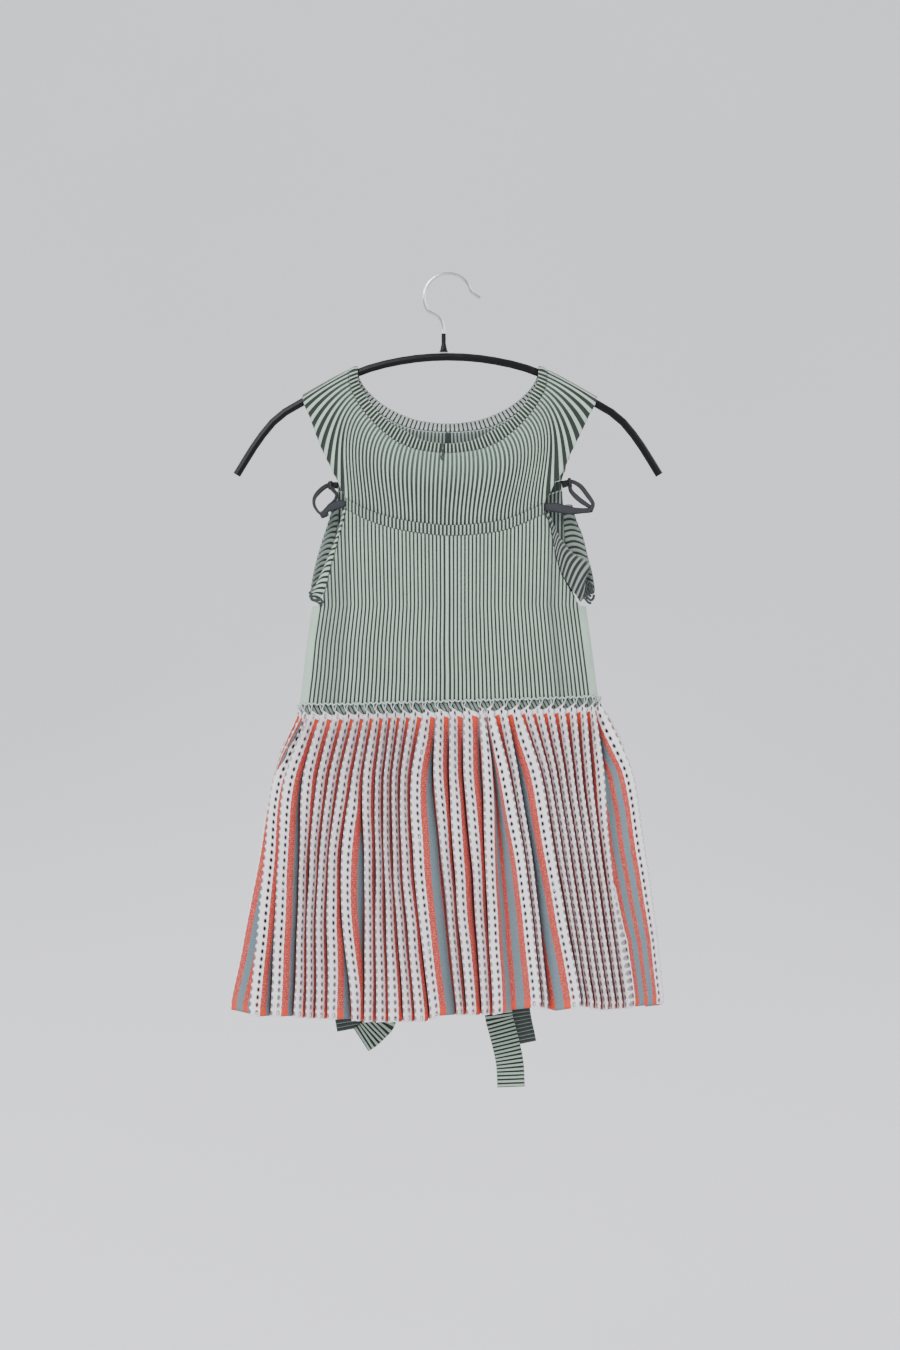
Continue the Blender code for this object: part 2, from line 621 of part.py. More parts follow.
def make_waist_strip():
    """The grey ribbed strip inside the hem, which the pleat tips are linked to."""
    _, places = panel_places()
    inner_face = WALL + STRIP_GAP

    def loop(z, inward):
        points = []
        for side, order in ((-1, places[:-1]), (1, places[:0:-1])):
            for place in order:
                x, y = ring_point(2 * place - 1, bodice_ring(z), inward, side)
                points.append((x, y, z))
        return points

    outer = [loop(z, inner_face) for z in (STRIP_TOP, STRIP_BOTTOM)]
    inner = [loop(z, inner_face + STRIP_WALL) for z in (STRIP_TOP, STRIP_BOTTOM)]
    around = np.arange(len(outer[0])) / len(outer[0])
    wall_object("waist_strip", outer, around, inner, around, charcoal_knit(), wraps=True)


# Skirt
def skirt_ring(z):
    values = [table_at(SKIRT_RINGS, 0, k, z) for k in (1, 2, 3, 4)]
    left, right, depth, crown = values
    return (left + right) / 2, (right - left) / 2 - depth, depth, crown


def front_ridges(z):
    """Ring shares of the front's ridges at a height, left to right."""
    ring = skirt_ring(z)
    heights = PLEAT_HEIGHTS[::-1]
    return [ring_share(np.interp(z, heights, pleat[::-1]), ring) for pleat in FRONT_PLEATS]


def back_ridges(z):
    """Ring shares of the back's ridges: even, with a small sway that grows to the hem."""
    ring = skirt_ring(z)
    half = ring[1] + ring[2] * math.pi / 2
    fall = (SKIRT_RINGS[0][0] - z) / (SKIRT_RINGS[0][0] - SKIRT_RINGS[-1][0])
    shares = []
    for number in range(BACK_PLEATS):
        even = (2 * number + 1) / BACK_PLEATS - 1
        sway = BACK_PLEAT_SWAY * fall * (math.sin(2.1 * number) + math.sin(0.7 * number + 1))
        shares.append(even + sway / half)
    return shares


def pleat_depth(most, gap, ring, at_end):
    """How deep a pleat is: it uses its cloth up, and leaves its trough room round a tight end."""
    deep = math.sqrt(max((PLEAT_CLOTH / 2) ** 2 - (gap / 2) ** 2, SHALLOWEST_PLEAT ** 2))
    if at_end:
        deep = min(deep, ring[2] * (1 - TROUGH_ROOM / gap))
    return min(most, deep)


def pleat_line(z, side, ridges):
    """The middle of the pleated cloth at a height: ring points of crests and troughs.

    Each point is (x, y, depth share), where the depth share is 0 on a crest and 1 in a trough.
    """
    ring = skirt_ring(z)
    half = ring[1] + ring[2] * math.pi / 2
    most = table_at(SKIRT_RINGS, 0, 5, z)
    lean_at = ring_share(LEAN_CHANGE_X, ring)

    def pair(share, deep, half_width, deep_share):
        """Two points, side by side along the ring, that make a flat crest or trough."""
        spot = np.array(ring_point(share, ring, deep, side))
        ahead = np.array(ring_point(share + 0.001, ring, 0, side))
        behind = np.array(ring_point(share - 0.001, ring, 0, side))
        along = unit(ahead - behind) * half_width
        return [(*(spot - along), deep_share), (*(spot + along), deep_share)]

    line = []
    for number, ridge in enumerate(ridges):
        before = (ridge - ridges[number - 1] if number else 2 * (ridge + 1)) * half
        after = (ridges[number + 1] - ridge if number + 1 < len(ridges) else 2 * (1 - ridge)) * half
        line += pair(ridge, 0, min(CREST_SHARE * before, CREST_SHARE * after, CREST_MOST), 0)
        if number + 1 < len(ridges):
            middle = ridge + after / half * (LEAN if ridge < lean_at else 1 - LEAN)
            at_end = abs(middle) * half > ring[1]
            deep = pleat_depth(most, after, ring, at_end)
            line += pair(middle, deep, min(TROUGH_SHARE * after, TROUGH_MOST), 1)
    reach = ring[1] + ring[2] - min(most, SEAM_DEPTH_SHARE * ring[2])
    seam_y = side * SKIRT_SEAM_Y
    return [(ring[0] - reach, seam_y, 1)] + line + [(ring[0] + reach, seam_y, 1)]


def offset_line(line, distance):
    """A line in plan moved sideways, with mitred corners."""
    flat = np.array([point[:2] for point in line])
    ways = np.diff(flat, axis=0)
    ways /= np.linalg.norm(ways, axis=1)[:, None]
    normals = np.column_stack([-ways[:, 1], ways[:, 0]])
    moved = []
    for number, spot in enumerate(flat):
        first = normals[max(number - 1, 0)]
        second = normals[min(number, len(normals) - 1)]
        mean = unit(first + second)
        stretch = min(1 / max(float(mean @ first), MITRE_LEAST), MITRE_MOST)
        moved.append(spot + mean * stretch * distance)
    return moved


def pleat_height(z, x, deep, side):
    """The height of a point of the pleated wall, with the top and the hem following their lines."""
    top_row, hem_row = SKIRT_RINGS[0][0], SKIRT_RINGS[-1][0]
    if z == top_row:
        drop = WAIST_TIP_DROP + (WAIST_VALLEY_DROP - WAIST_TIP_DROP) * deep
        return np.interp(x, *zip(*WAIST_LINE)) - drop
    if z == hem_row:
        return np.interp(x, *zip(*HEM_LINE)) - (BACK_HEM_DROP if side > 0 else 0)
    return z


def make_skirt(name, side, ridges_at):
    rows_out, rows_in = [], []
    for z in [ring[0] for ring in SKIRT_RINGS]:
        line = pleat_line(z, side, ridges_at(z))
        heights = [pleat_height(z, x, deep, side) for x, y, deep in line]
        for rows, distance in ((rows_out, SKIRT_WALL / 2), (rows_in, -SKIRT_WALL / 2)):
            moved = offset_line(line, distance)
            rows.append([(x, y, height) for (x, y), height in zip(moved, heights)])
    places = np.linspace(0, 1, len(rows_out[0]))
    wall_object(name, rows_out, places, rows_in, places, pleat_knit())


# Armhole bands
def make_arm_band(name, sign, front_rows, back_rows):
    """A band that stands out from the armhole: down the front, under the arm and up the back."""
    sewn, free = [], []
    for x, z, free_x, free_z, turned_in in front_rows:
        depth = bodice_ring(z)[2]
        sewn.append((x, -depth + ARM_BAND_SET_IN, z))
        free.append((free_x, -depth + turned_in, free_z))
    low_x, low_z, low_free_x, low_free_z, _ = front_rows[-1]
    sewn_out, sewn_down, free_out, free_down = ARM_BAND_TURN
    sewn.append((low_x + sign * sewn_out, 0, low_z - sewn_down))
    free.append((low_free_x + sign * free_out, 0, low_free_z - free_down))
    for x, z, free_x, free_z, turned_in in reversed(back_rows):
        depth = bodice_ring(z)[2]
        sewn.append((x, depth - ARM_BAND_SET_IN, z))
        free.append((free_x, depth - turned_in, free_z))
    count = ARM_BAND_POINTS
    shares = np.linspace(0, 1, count)
    sewn, free = smooth_line(sewn, shares), smooth_line(free, shares)
    outer, inner = ([], [], []), ([], [], [])
    for number in range(count):
        a, b = sewn[number], free[number]
        middle = (a + b) / 2
        ahead = sewn[min(number + 1, count - 1)] - sewn[max(number - 1, 0)]
        out = unit(np.cross(ahead, b - a)) * sign
        spots = (a, middle + out * ARM_BAND_BULGE, b)
        for rows, lift in ((outer, 0.0), (inner, -WALL)):
            for row, spot in zip(rows, spots):
                row.append(tuple(spot + out * lift))
    wall_object(name, outer, shares, inner, shares, mint_knit())


# Ribbons, sliders and ties
def ribbon_wall(name, route, width, wall, finish, fineness=2):
    """A flat strip along a route. Its width lies across the route in the front view."""
    count = fineness * (len(route) - 1) + 1
    spots = smooth_line(route, np.linspace(0, 1, count))
    rows_a, rows_b = ([], []), ([], [])
    for number, spot in enumerate(spots):
        ahead = unit(spots[min(number + 1, count - 1)] - spots[max(number - 1, 0)])
        across = unit((ahead[2], 0, -ahead[0]))
        normal = unit(np.cross(ahead, across))
        if normal[1] > 0:
            normal = -normal
        for row, side in zip(rows_a, (-1, 1)):
            row.append(tuple(spot + across * side * width / 2 + normal * wall / 2))
        for row, side in zip(rows_b, (-1, 1)):
            row.append(tuple(spot + across * side * width / 2 - normal * wall / 2))
    places = np.linspace(0, 1, count)
    return wall_object(name, rows_a, places, rows_b, places, finish)


def make_slider(name, centre, turn, wide, tall):
    """A small flat slider, turned in the front view, with rounded corners."""
    outline = []
    for corner_x, corner_z, first in ((1, 1, 0), (-1, 1, 90), (-1, -1, 180), (1, -1, 270)):
        for step in (0, 45, 90):
            angle = math.radians(first + step)
            outline.append((corner_x * (wide / 2 - SLIDER_ROUNDING) + SLIDER_ROUNDING * math.cos(angle),
                            corner_z * (tall / 2 - SLIDER_ROUNDING) + SLIDER_ROUNDING * math.sin(angle)))
    lean = math.radians(turn)
    points = []
    for y in (-SLIDER_DEPTH / 2, SLIDER_DEPTH / 2):
        for across, up in outline:
            points.append((centre[0] + across * math.cos(lean) - up * math.sin(lean),
                           centre[1] + y,
                           centre[2] + across * math.sin(lean) + up * math.cos(lean)))
    count = len(outline)
    faces = [tuple(range(count)), tuple(range(count, 2 * count))]
    faces += [(k, (k + 1) % count, count + (k + 1) % count, count + k) for k in range(count)]
    make_object(name, points, faces, grey_ribbon())


def make_straps():
    for name, route, width in STRAPS:
        ribbon_wall(name, route, width, RIBBON_WALL, grey_ribbon())
    for name, centre, turn, wide, tall in SLIDERS:
        make_slider(name, centre, turn, wide, tall)


def tie_depth(x, z):
    """How far back a tie lies: on the bodice's hem, then on the back pleats, then straight down."""
    if z > TIE_SEAM_Z:
        middle, flat, depth, crown = bodice_ring(z)
        clear = RIB_RAISE + SEAM_GAP + TIE_WALL / 2
    else:
        middle, flat, depth, crown = skirt_ring(max(z, SKIRT_RINGS[-1][0]))
        clear = SKIRT_CLEAR
    away = min(abs(x - middle) / flat, 1)
    return depth + crown * (1 - away ** 2) + clear


def make_tie(name, route, layer=0.0):
    """A tie along a route in the front view. A layer lifts it over the tie below it."""
    spots = []
    for x, z in smooth_line(route, np.linspace(0, 1, TIE_POINTS)):
        lift = layer * np.interp(z, (LAYER_FULL_Z, TIE_SEAM_Z), (1, 0))
        spots.append((x, tie_depth(x, z) + lift, z))
    ribbon_wall(name, spots, TIE_WIDTH, TIE_WALL, mint_knit(), 1)


def make_ties():
    make_tie("tie_right", RIGHT_TIE)
    make_tie("tie_right_end", RIGHT_TIE_END, TIE_LAYER)
    make_tie("tie_left_down", LEFT_TIE_DOWN, TIE_LAYER)
    make_tie("tie_left_up", LEFT_TIE_UP, NEAR_LAYER)


def main():
    clear_scene()
    make_bow()
    make_hook()
    make_sleeve()
    make_yoke("yoke_front", -1, FRONT_NECK_OUTER, FRONT_BAND_TOP, FRONT_ARM_LEFT, FRONT_ARM_RIGHT)
    make_yoke("yoke_back", 1, BACK_NECK_OUTER, BACK_BAND_TOP, BACK_ARM_LEFT, BACK_ARM_RIGHT)
    make_neckband()
    make_yoke_band("yoke_band_front", -1, FRONT_BAND_TOP)
    make_yoke_band("yoke_band_back", 1, BACK_BAND_TOP)
    make_panel("bodice_front", -1, FRONT_BAND_TOP, FRONT_PANEL_LEFT, FRONT_PANEL_RIGHT)
    make_panel("bodice_back", 1, BACK_BAND_TOP, BACK_PANEL_LEFT, BACK_PANEL_RIGHT)
    make_arm_band("armhole_band_left", -1, LEFT_ARM_BAND, LEFT_ARM_BAND_BACK)
    make_arm_band("armhole_band_right", 1, RIGHT_ARM_BAND, RIGHT_ARM_BAND_BACK)
    make_straps()
    make_waist_strip()
    make_skirt("skirt_front", -1, front_ridges)
    make_skirt("skirt_back", 1, back_ridges)
    make_ties()


main()
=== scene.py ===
"""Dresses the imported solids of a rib-knit dress with a pleated skirt, hanging on a clothes hanger.

Tables and names hold millimetres, in the part's own frame: the hook's inner top is the origin, +Z is
up, and the front of the dress faces -Y. Left and right are the viewer's, so left is -X. A side is -1
for the front and 1 for the back.
"""

import functools
import math
from collections import namedtuple

import bpy
import numpy as np
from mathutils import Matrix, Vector, noise


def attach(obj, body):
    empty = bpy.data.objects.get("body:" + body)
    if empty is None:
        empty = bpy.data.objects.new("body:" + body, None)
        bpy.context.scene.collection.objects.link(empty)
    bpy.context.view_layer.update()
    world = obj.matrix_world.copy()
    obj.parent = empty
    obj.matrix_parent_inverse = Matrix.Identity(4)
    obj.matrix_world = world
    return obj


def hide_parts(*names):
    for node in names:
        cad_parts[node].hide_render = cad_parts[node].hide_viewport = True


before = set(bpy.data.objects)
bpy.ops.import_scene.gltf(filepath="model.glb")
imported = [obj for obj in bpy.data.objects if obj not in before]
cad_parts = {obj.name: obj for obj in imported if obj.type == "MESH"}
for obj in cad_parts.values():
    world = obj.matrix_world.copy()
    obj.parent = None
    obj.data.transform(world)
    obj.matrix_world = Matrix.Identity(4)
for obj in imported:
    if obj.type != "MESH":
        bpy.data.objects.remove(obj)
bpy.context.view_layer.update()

MM = 0.001

# Camera, at the photograph's angle
CAMERA_DISTANCE = 3000
VIEW_MIDDLE = (1.9, -385)
VIEW_HEIGHT = 1299

# Studio sweep, clear of the other views' cameras
FLOOR_Z = -1350
WALL_Y = 4500
SWEEP_RADIUS = 3000
SWEEP_FRONT, SWEEP_HALF, SWEEP_TOP = -4200, 5000, 3400

# Lights, in metres: name, place, size and power
LIGHTS = (("key", (-1.3, -2.2, 1.3), 1.8, 100), ("fill", (2.0, -2.0, 0.2), 2.0, 26),
          ("back_left", (-1.6, 2.2, 0.9), 1.6, 34), ("back_right", (1.8, 2.0, 0.6), 1.6, 26))
LIGHT_TARGET = (0, 0, -0.4)
WORLD_COLOUR, WORLD_POWER = (0.80, 0.81, 0.83, 1), 1.2

# Walls, seams and ribs
WALL = 1.8
PANEL_CLOTH, NECKBAND_CLOTH = 1.5, 1.6
RIB_RAISE = 0.5
SEAM_GAP = 0.3
# Place across a rib, and lift there
RIB_PROFILE = ((0.0, -0.45), (0.14, 0.0), (0.26, 0.42), (0.5, 0.62), (0.74, 0.42), (0.86, 0.0))

# Hanger
TUBE_RADIUS = 3.85
BOW_HALF = ((0, -78.9), (44, -82.6), (88.5, -94.8), (140.5, -122.7), (164.6, -138.1),
            (183.4, -160.7), (203.3, -192.5))

# Cloth depth: how far the front lies from the middle plane, by the drop below the shoulder
HANGER_GAP = 0.65
WRAP_RADIUS = TUBE_RADIUS + HANGER_GAP + WALL
SHOULDER_Z = -100
FULLNESS = ((0, 0), (60, 1.0), (220, 2.5), (320, 4.0))
CROWN = 3.0
CROWN_DROP = 60

# Bodice silhouette: height, left edge, right edge
BODICE_OUTLINE = ((-80, -137, 138), (-250, -134, 135.5), (-318, -130.5, 132.5), (-354, -136, 137.5),
                  (-386, -139, 141.8), (-414, -142.6, 145.2))
WAIST_LINE = ((-143, -413.8), (-99, -413.8), (0, -410.9), (98, -408.1), (146, -406.1))

# Each half of the dress. Necklines run from the middle to the fold over the hanger. band_top is the
# top of the band that a ribbon is drawn through, and the armholes lie above it. The panels' lower
# armhole edges run from the band down to the side seam. leaning_left counts the pleats whose fold
# lies on the left of their white band, and seed sets how they sway.
Half = namedtuple("Half", "name side neckband_ribs leaning_left seed neck_inner neck_outer band_top "
                          "arm_left arm_right panel_left panel_right")
FRONT = Half(
    "front", -1, neckband_ribs=72, leaning_left=18, seed=3,
    neck_inner=((0, -163), (9.8, -162.4), (24.6, -159.5), (41.4, -150.6), (54.1, -143.8),
                (67.8, -131.8), (79.6, -115.3), (85.5, -103.5), (87, -88.5)),
    neck_outer=((0, -172), (19.7, -170.3), (33.7, -167.5), (50, -160.4), (63.9, -149.7),
                (75.6, -137.9), (86.6, -123.2), (94, -107.4), (95.5, -91)),
    band_top=((-97.2, -216.1), (-74.1, -227.5), (-44.8, -235.8), (-15.6, -240), (1, -241.1),
              (26, -240), (57.5, -234.8), (91.8, -220.4)),
    arm_left=((-97.2, -216.1), (-102, -208), (-106.8, -197.3), (-111.1, -188.6), (-123.2, -163.6),
              (-132.8, -137.6), (-137.6, -127), (-140, -118)),
    arm_right=((91.8, -220.4), (97.7, -210.4), (103.6, -198.3), (109.7, -190.6), (118, -172),
               (127.4, -153), (136.3, -134.4), (141, -126), (143.4, -118)),
    panel_left=((-97.8, -229.5), (-99.6, -237.4), (-103.8, -252.1), (-107.2, -265.9), (-111.6, -282.6),
                (-115, -298.1), (-119.5, -312.5), (-124, -319), (-131.8, -319.5), (-150, -319.5)),
    panel_right=((92.4, -232.5), (95.7, -236), (98.6, -248), (102.6, -271.4), (108.5, -288.7),
                 (116.5, -303), (123.2, -314), (127, -318.5), (134.7, -319), (150, -319)))
BACK = Half(
    "back", 1, neckband_ribs=56, leaning_left=13, seed=8,
    neck_inner=((0, -142.2), (9.8, -141.8), (29.5, -138.9), (44.3, -133.8), (57.9, -127),
                (68.8, -119.3), (79.6, -108.4), (85.5, -98), (87, -88.5)),
    neck_outer=((0, -150.8), (24.6, -149.2), (39.5, -146.3), (50, -142.3), (64, -134.5),
                (76, -124), (87, -111), (93.5, -100), (95.5, -91)),
    band_top=((-106.5, -197), (-80, -206), (-45, -213), (-15, -216.3), (0, -216.8), (15, -216.3),
              (45, -213), (80, -206), (110, -196.5)),
    arm_left=((-106.5, -197), (-107.5, -188), (-114, -170), (-124, -150), (-131, -136),
              (-137, -126), (-140, -118)),
    arm_right=((110, -196.5), (113, -186), *FRONT.arm_right[4:]),
    panel_left=((-107, -209), (-107.8, -232), (-111, -262), (-116, -290), (-121, -314.4),
                *FRONT.panel_left[-3:]),
    panel_right=((110.6, -209), (111.4, -232), (114, -262), (118, -290), (122, -314), (126, -318.5),
                 *FRONT.panel_right[-2:]))
HALVES = (FRONT, BACK)
NECK_RIBS = 70
NECK_SWELL = 1.2
YOKE_SWAY = 0.22
BAND_SHARE = 0.73
BAND_SWELL, BAND_BULGE = 0.6, 1.0
EDGE_CROWDING = 1.5
DRAWN_MOST, DRAWN_LENGTH = 0.5, 36  # how pale the grooves are under the neckband, and how far down
BAND_HEIGHT = 10.4
BAND_RIBS = 52
WAIST_RIBS = 68
PLAIN_SHARE, PLAIN_COLUMNS, PLAIN_LIFT = 0.05, 8, 0.1  # plain knit at each side of a panel
MIDDLE_RIB = 33
WIDE_RIB = 0.45  # extra width of the rib in the middle of the front
PANEL_SWAY, PANEL_BILLOW = 0.0012, 0.8

# Armhole bands. rib_ends says where a rib meets the sewn edge and the free edge, in shares of each,
# and bows how far its middle lies further along, in front and behind. Each row holds the sewn edge's
# x and z, the free edge's x and z, and how far in depth the free edge turns in.
ArmBand = namedtuple("ArmBand", "name sign rib_ends bows front_rows back_rows")
LEFT_ARM_BAND = ArmBand(
    "left", -1,
    rib_ends=((0, 0.03), (0.1, 0.135), (0.25, 0.3), (0.4, 0.45), (0.5, 0.5), (0.6, 0.55),
              (0.75, 0.695), (0.9, 0.855), (1, 0.97)),
    bows=(0.0, 2.2),
    front_rows=(
        (-98.5, -225, -99, -226, 6.5), (-99.6, -231.5, -100.2, -233, 6.5),
        (-101.6, -240, -102.4, -242, 6.3), (-104.4, -251, -106, -254, 6),
        (-107.2, -261, -110.2, -264, 5.4), (-110, -272, -115.6, -273, 4.6),
        (-113.2, -282.6, -119.8, -282.6, 4.4), (-116.6, -298.1, -125.8, -296, 4),
        (-120.9, -309, -131, -306, 3.4), (-124.3, -314, -132, -309.5, 3)),
    back_rows=(
        (-104.6, -222, -112, -221, 2.2), (-105, -231.5, -114, -231, 2.2),
        (-105.6, -237, -115.8, -238, 2.2), (-108.6, -254, -120.8, -253, 2.2),
        (-113.4, -276, -127.2, -275, 2.2), (-118.6, -295, -131, -292, 2.2),
        (-124.4, -311, -133, -305, 2.2)))
RIGHT_ARM_BAND = ArmBand(
    "right", 1,
    rib_ends=((0, 0), (0.1, 0.07), (0.25, 0.18), (0.4, 0.32), (0.5, 0.5), (0.6, 0.55), (0.75, 0.71),
              (1, 1)),
    bows=(-2.8, 2.2),
    front_rows=(
        (93.5, -230, 95, -231, 5), (96.8, -236.5, 99.5, -238, 4), (99.7, -248, 107, -251, 3),
        (103.8, -271.4, 118, -266, 2.2), (109.9, -288.7, 136.5, -278.5, 2.4),
        (118.4, -302.5, 132.5, -292, 4.6), (126.2, -313, 130.5, -304, 5.2)),
    back_rows=(
        (110.6, -222, 120, -221, 2.2), (110.8, -232, 122.4, -231, 2.2), (111.2, -240, 125.6, -240, 2.2),
        (112.4, -255, 130.4, -252, 2.2), (115.4, -276, 135, -271, 2.2), (120, -295, 140, -291, 3.4),
        (125.6, -311, 141, -306, 4.2)))
ARM_BAND_RIBS = 36
ARM_BAND_SET_IN = 0.3
ARM_BAND_TURN = (1.0, 1.4, 1.2, 2.0)  # under the arm: sewn edge out and down, free edge out and down
ARM_BAND_BULGE, ARM_BAND_ARCH, ARM_BAND_LIFT = 1.6, 1.2, 0.8  # out of the band, up, and of a rib

# Skirt rings: height, left edge, right edge, depth at the sides, crown in the middle, pleat depth
SKIRT_RINGS = (
    (-417.0, -143.9, 146.3, 10.2, 3.0, 2.8),
    (-432.0, -150.5, 158.0, 15.0, 3.0, 9.5),
    (-455.0, -163.0, 170.0, 21.5, 3.5, 19.0),
    (-500.0, -174.0, 183.5, 26.0, 3.5, 22.0),
    (-563.0, -184.4, 191.2, 29.0, 4.0, 22.0),
    (-700.0, -210.3, 209.6, 36.0, 4.0, 22.0))
TOP_Z, HEM_Z = SKIRT_RINGS[0][0], SKIRT_RINGS[-1][0]
LOWEST_Z = HEM_Z - 8  # about where the front's hem hangs
# Cloth from a ridge, and how far the top edge lies below the bodice's hem there
WAIST_DROPS = ((0, 3.8), (1.5, 4.2), (4, 5.8), (11, 8.6), (18, 10.6), (26, 12))
PLEAT_CLOTH = 53.0
TROUGH_ROOM, TROUGH_MOST = 4.5, 0.8
SKIRT_SEAM_Y = 0.8
SEAM_DEPTH_SHARE = 0.55
HEM_LINE = ((-205, -706.4), (-181, -710.3), (-152, -710.3), (-133, -712.2), (-94, -713.1),
            (-80, -715), (-22, -715), (-8, -709.3), (40, -708.3), (60, -705.4), (84, -700.6),
            (103, -705.4), (127, -700.6), (146, -704.5), (209, -700.6))
BACK_HEM_DROP = 2.5
# x of each front pleat at these heights
PLEAT_HEIGHTS = (-417, -486, -563, -700)
FRONT_PLEATS = (
    (-143.4, -170.5, -183.5, -209.6), (-139, -166, -174, -186), (-132, -154, -159, -165),
    (-121, -136, -138, -143), (-109, -122, -129, -132), (-98, -111, -120, -122.5),
    (-88, -101, -110.5, -111), (-79, -89, -99, -88), (-70, -78, -76, -76), (-61, -66, -65.5, -65),
    (-53, -58, -57, -53), (-44.5, -50, -48.5, -39), (-35, -42, -40, -28), (-23, -32, -29, -14),
    (-11, -10, -2, 12), (2, 5, 9, 21), (15, 19, 26, 35.5), (30, 37, 39, 46), (42, 56, 69.5, 85),
    (55, 64.5, 77, 91.5), (67, 86, 99, 123), (78, 93.5, 106, 127.5), (89, 101, 113.5, 135),
    (100, 108.7, 121, 142), (111, 117, 128.2, 149), (122, 125, 136, 156),
    (132, 134, 143, 162.5), (140, 146, 151.5, 169.5), (145.8, 175, 187, 207))
HIP_DROP = 60  # from the skirt's top to where its pleats are full
RIDGE_SHIFT = 3.2  # from the middle of a visible white band to its fold, below the hip
FIRST_RIDGE_CLOTH = 5.0  # the first pleat folds beyond its white band, which faces sideways
BACK_PLEATS = 26
BACK_PLEAT_SWAY = 1.6
PLEAT_SWAY = 1.1

# Pleat cloth, from the middle of a white band to the middle of the stripes between: distance, relief
STRIPES = ((0, 0.1), (1.9, 0.12), (3.8, 0.1), (5.6, 0.12), (7.2, 0.0), (10.7, 0.35), (14.2, 0.0),
           (18.6, -0.1), (23.0, 0.0), (26.5, 0.3))
PLEAT_COLUMNS = 2 * (len(STRIPES) - 1)
EYELET_OFF = 3.8  # from the middle of the white band to a row of eyelets, where the cloth folds
EYELET_WIDTH, EYELET_HEIGHT = 1.2, 1.85  # radii
EYELET_MOST = 0.8  # of the way to the next row or column
EYELET_CORNER = 0.72  # share of the radii at the corners
EYELET_ROWS = 40
EYELET_PITCH = 7.2
EYELET_BEAT, EYELET_BEAT_WIDTH = (0.6, -0.45), 1.3  # relief between eyelets and at one, and its reach
SKIRT_CLOTH = 0.8
SLOT, SLOT_SHARE = 2.2, 0.13  # between a pleat's front and the next pleat
WHITE_FLANK = 11.0  # cloth from a fold to the far edge of its white band
# Height, and the share of the gap between folds that the white band takes there
WHITE_SHARES = ((-700, 0.68), (-520, 0.64), (-450, 0.57), (-417, 0.5))
WHITE_FLATTEST = 0.82  # cosine of the white band's least tilt
VALLEY_PLACE = 0.42  # of the middle gap, where its cloth lies deepest
FLANK_SPREAD = ((10, 40), (16, 36), (39, 12))  # gap between folds, degrees that the stripes turn back
RIDGE_RECESS = 2.6
FOLD_ROUNDING, PLAN_STEP = 2.2, 0.4
WHITE_EDGE, CORAL_EDGE, SLATE_EDGE = 7.25, 14.2, 23.0
TOP_BORDER = 4.4
SQUARE_TALL = 9.0

# Waist: the strip behind the pleat tips, and the yarn that links the tips to the bodice
STRIP_Z = -412
STRIP_RIBS = 150
STRIP_SLANT = 2.0  # ribs that a rib moves over on its way down
STRIP_ABOVE, STRIP_TALL, STRIP_SET_IN, STRIP_CLOTH = 6.0, 15.5, 1.7, 1.0
BIND_OFF_Z = -411
BIND_OFF_RADIUS, BIND_OFF_PITCH = 0.66, 5.4
# How far out of the bodice and above its hem, each with the height of its wave
BIND_OFF_OUT, BIND_OFF_UP = (0.7, 0.35), (0.9, 0.85)
LINK_RADIUS, LINK_OUT = 0.5, 1.0
LINK_ROUTE = ((-1.6, 0.4), (-1.3, -2.0), (-0.2, -5.2), (0.7, -5.6), (1.0, -2.8), (2.2, 0.6))  # x, height

# Dark yarn ends and dark strokes on the cloth: name, side, inward, radius, lines of x and height
YARN_ENDS = (
    ("neck_yarn_front", -1, -1.6, 0.85, (
        ((-5.4, -163), (-6.2, -168), (-5.0, -172), (-6.4, -176), (-5.6, -179)),
        ((-4.2, -166), (-3.8, -171)))),
    # Dark strokes down the middle of the back neck
    ("neck_dark_strokes_back", 1, 2.6, 0.8, (
        ((-2.4, -151.5), (-2.2, -156), (-2.6, -161)), ((-1, -151), (-1.2, -156.5), (-0.8, -162)),
        ((0.4, -151.4), (0.2, -156), (0.6, -162.4)), ((1.8, -151), (1.7, -157), (1.9, -161.4)))))
# Dark ends of the armhole bands: name, radius, lines of x, depth and height
BAND_ENDS = (
    ("left_band_end", 1.45, (
        ((-133.2, -6.4, -305.6), (-131.6, -7.4, -307.2), (-132.2, -8, -309.6), (-130.4, -8.6, -310.6)),
        ((-131.4, -7.6, -312.4), (-128, -9.2, -313.4), (-124, -10, -313), (-120.6, -10, -312.4)),
        ((-124.8, -9.4, -316), (-121.4, -9.8, -315.6), (-119.6, -9.8, -313.8)),
        ((-123, -9, -318.4), (-120.8, -9.4, -317.6)))),
    ("right_band_end", 1.35, (
        ((133.4, -3.6, -290.6), (130.6, -4.6, -296), (130.2, -5.4, -302), (132.6, -6, -308.4),
         (136.6, -5, -313), (139.4, -3, -311.6), (140.4, -1.5, -308)),
        ((135, -2.4, -294), (132.8, -3.2, -299.6), (133.8, -3.8, -305.6), (137.4, -3, -309.6)),
        ((137, -1, -296), (135.6, -1.6, -301.6), (138.4, -1.2, -306.4)),
        ((138.8, 0, -298), (138.4, -0.6, -303), (140.2, -0.4, -306)),
        ((131.4, -5.6, -311), (134.4, -5.4, -315), (137.4, -4.4, -316)))))

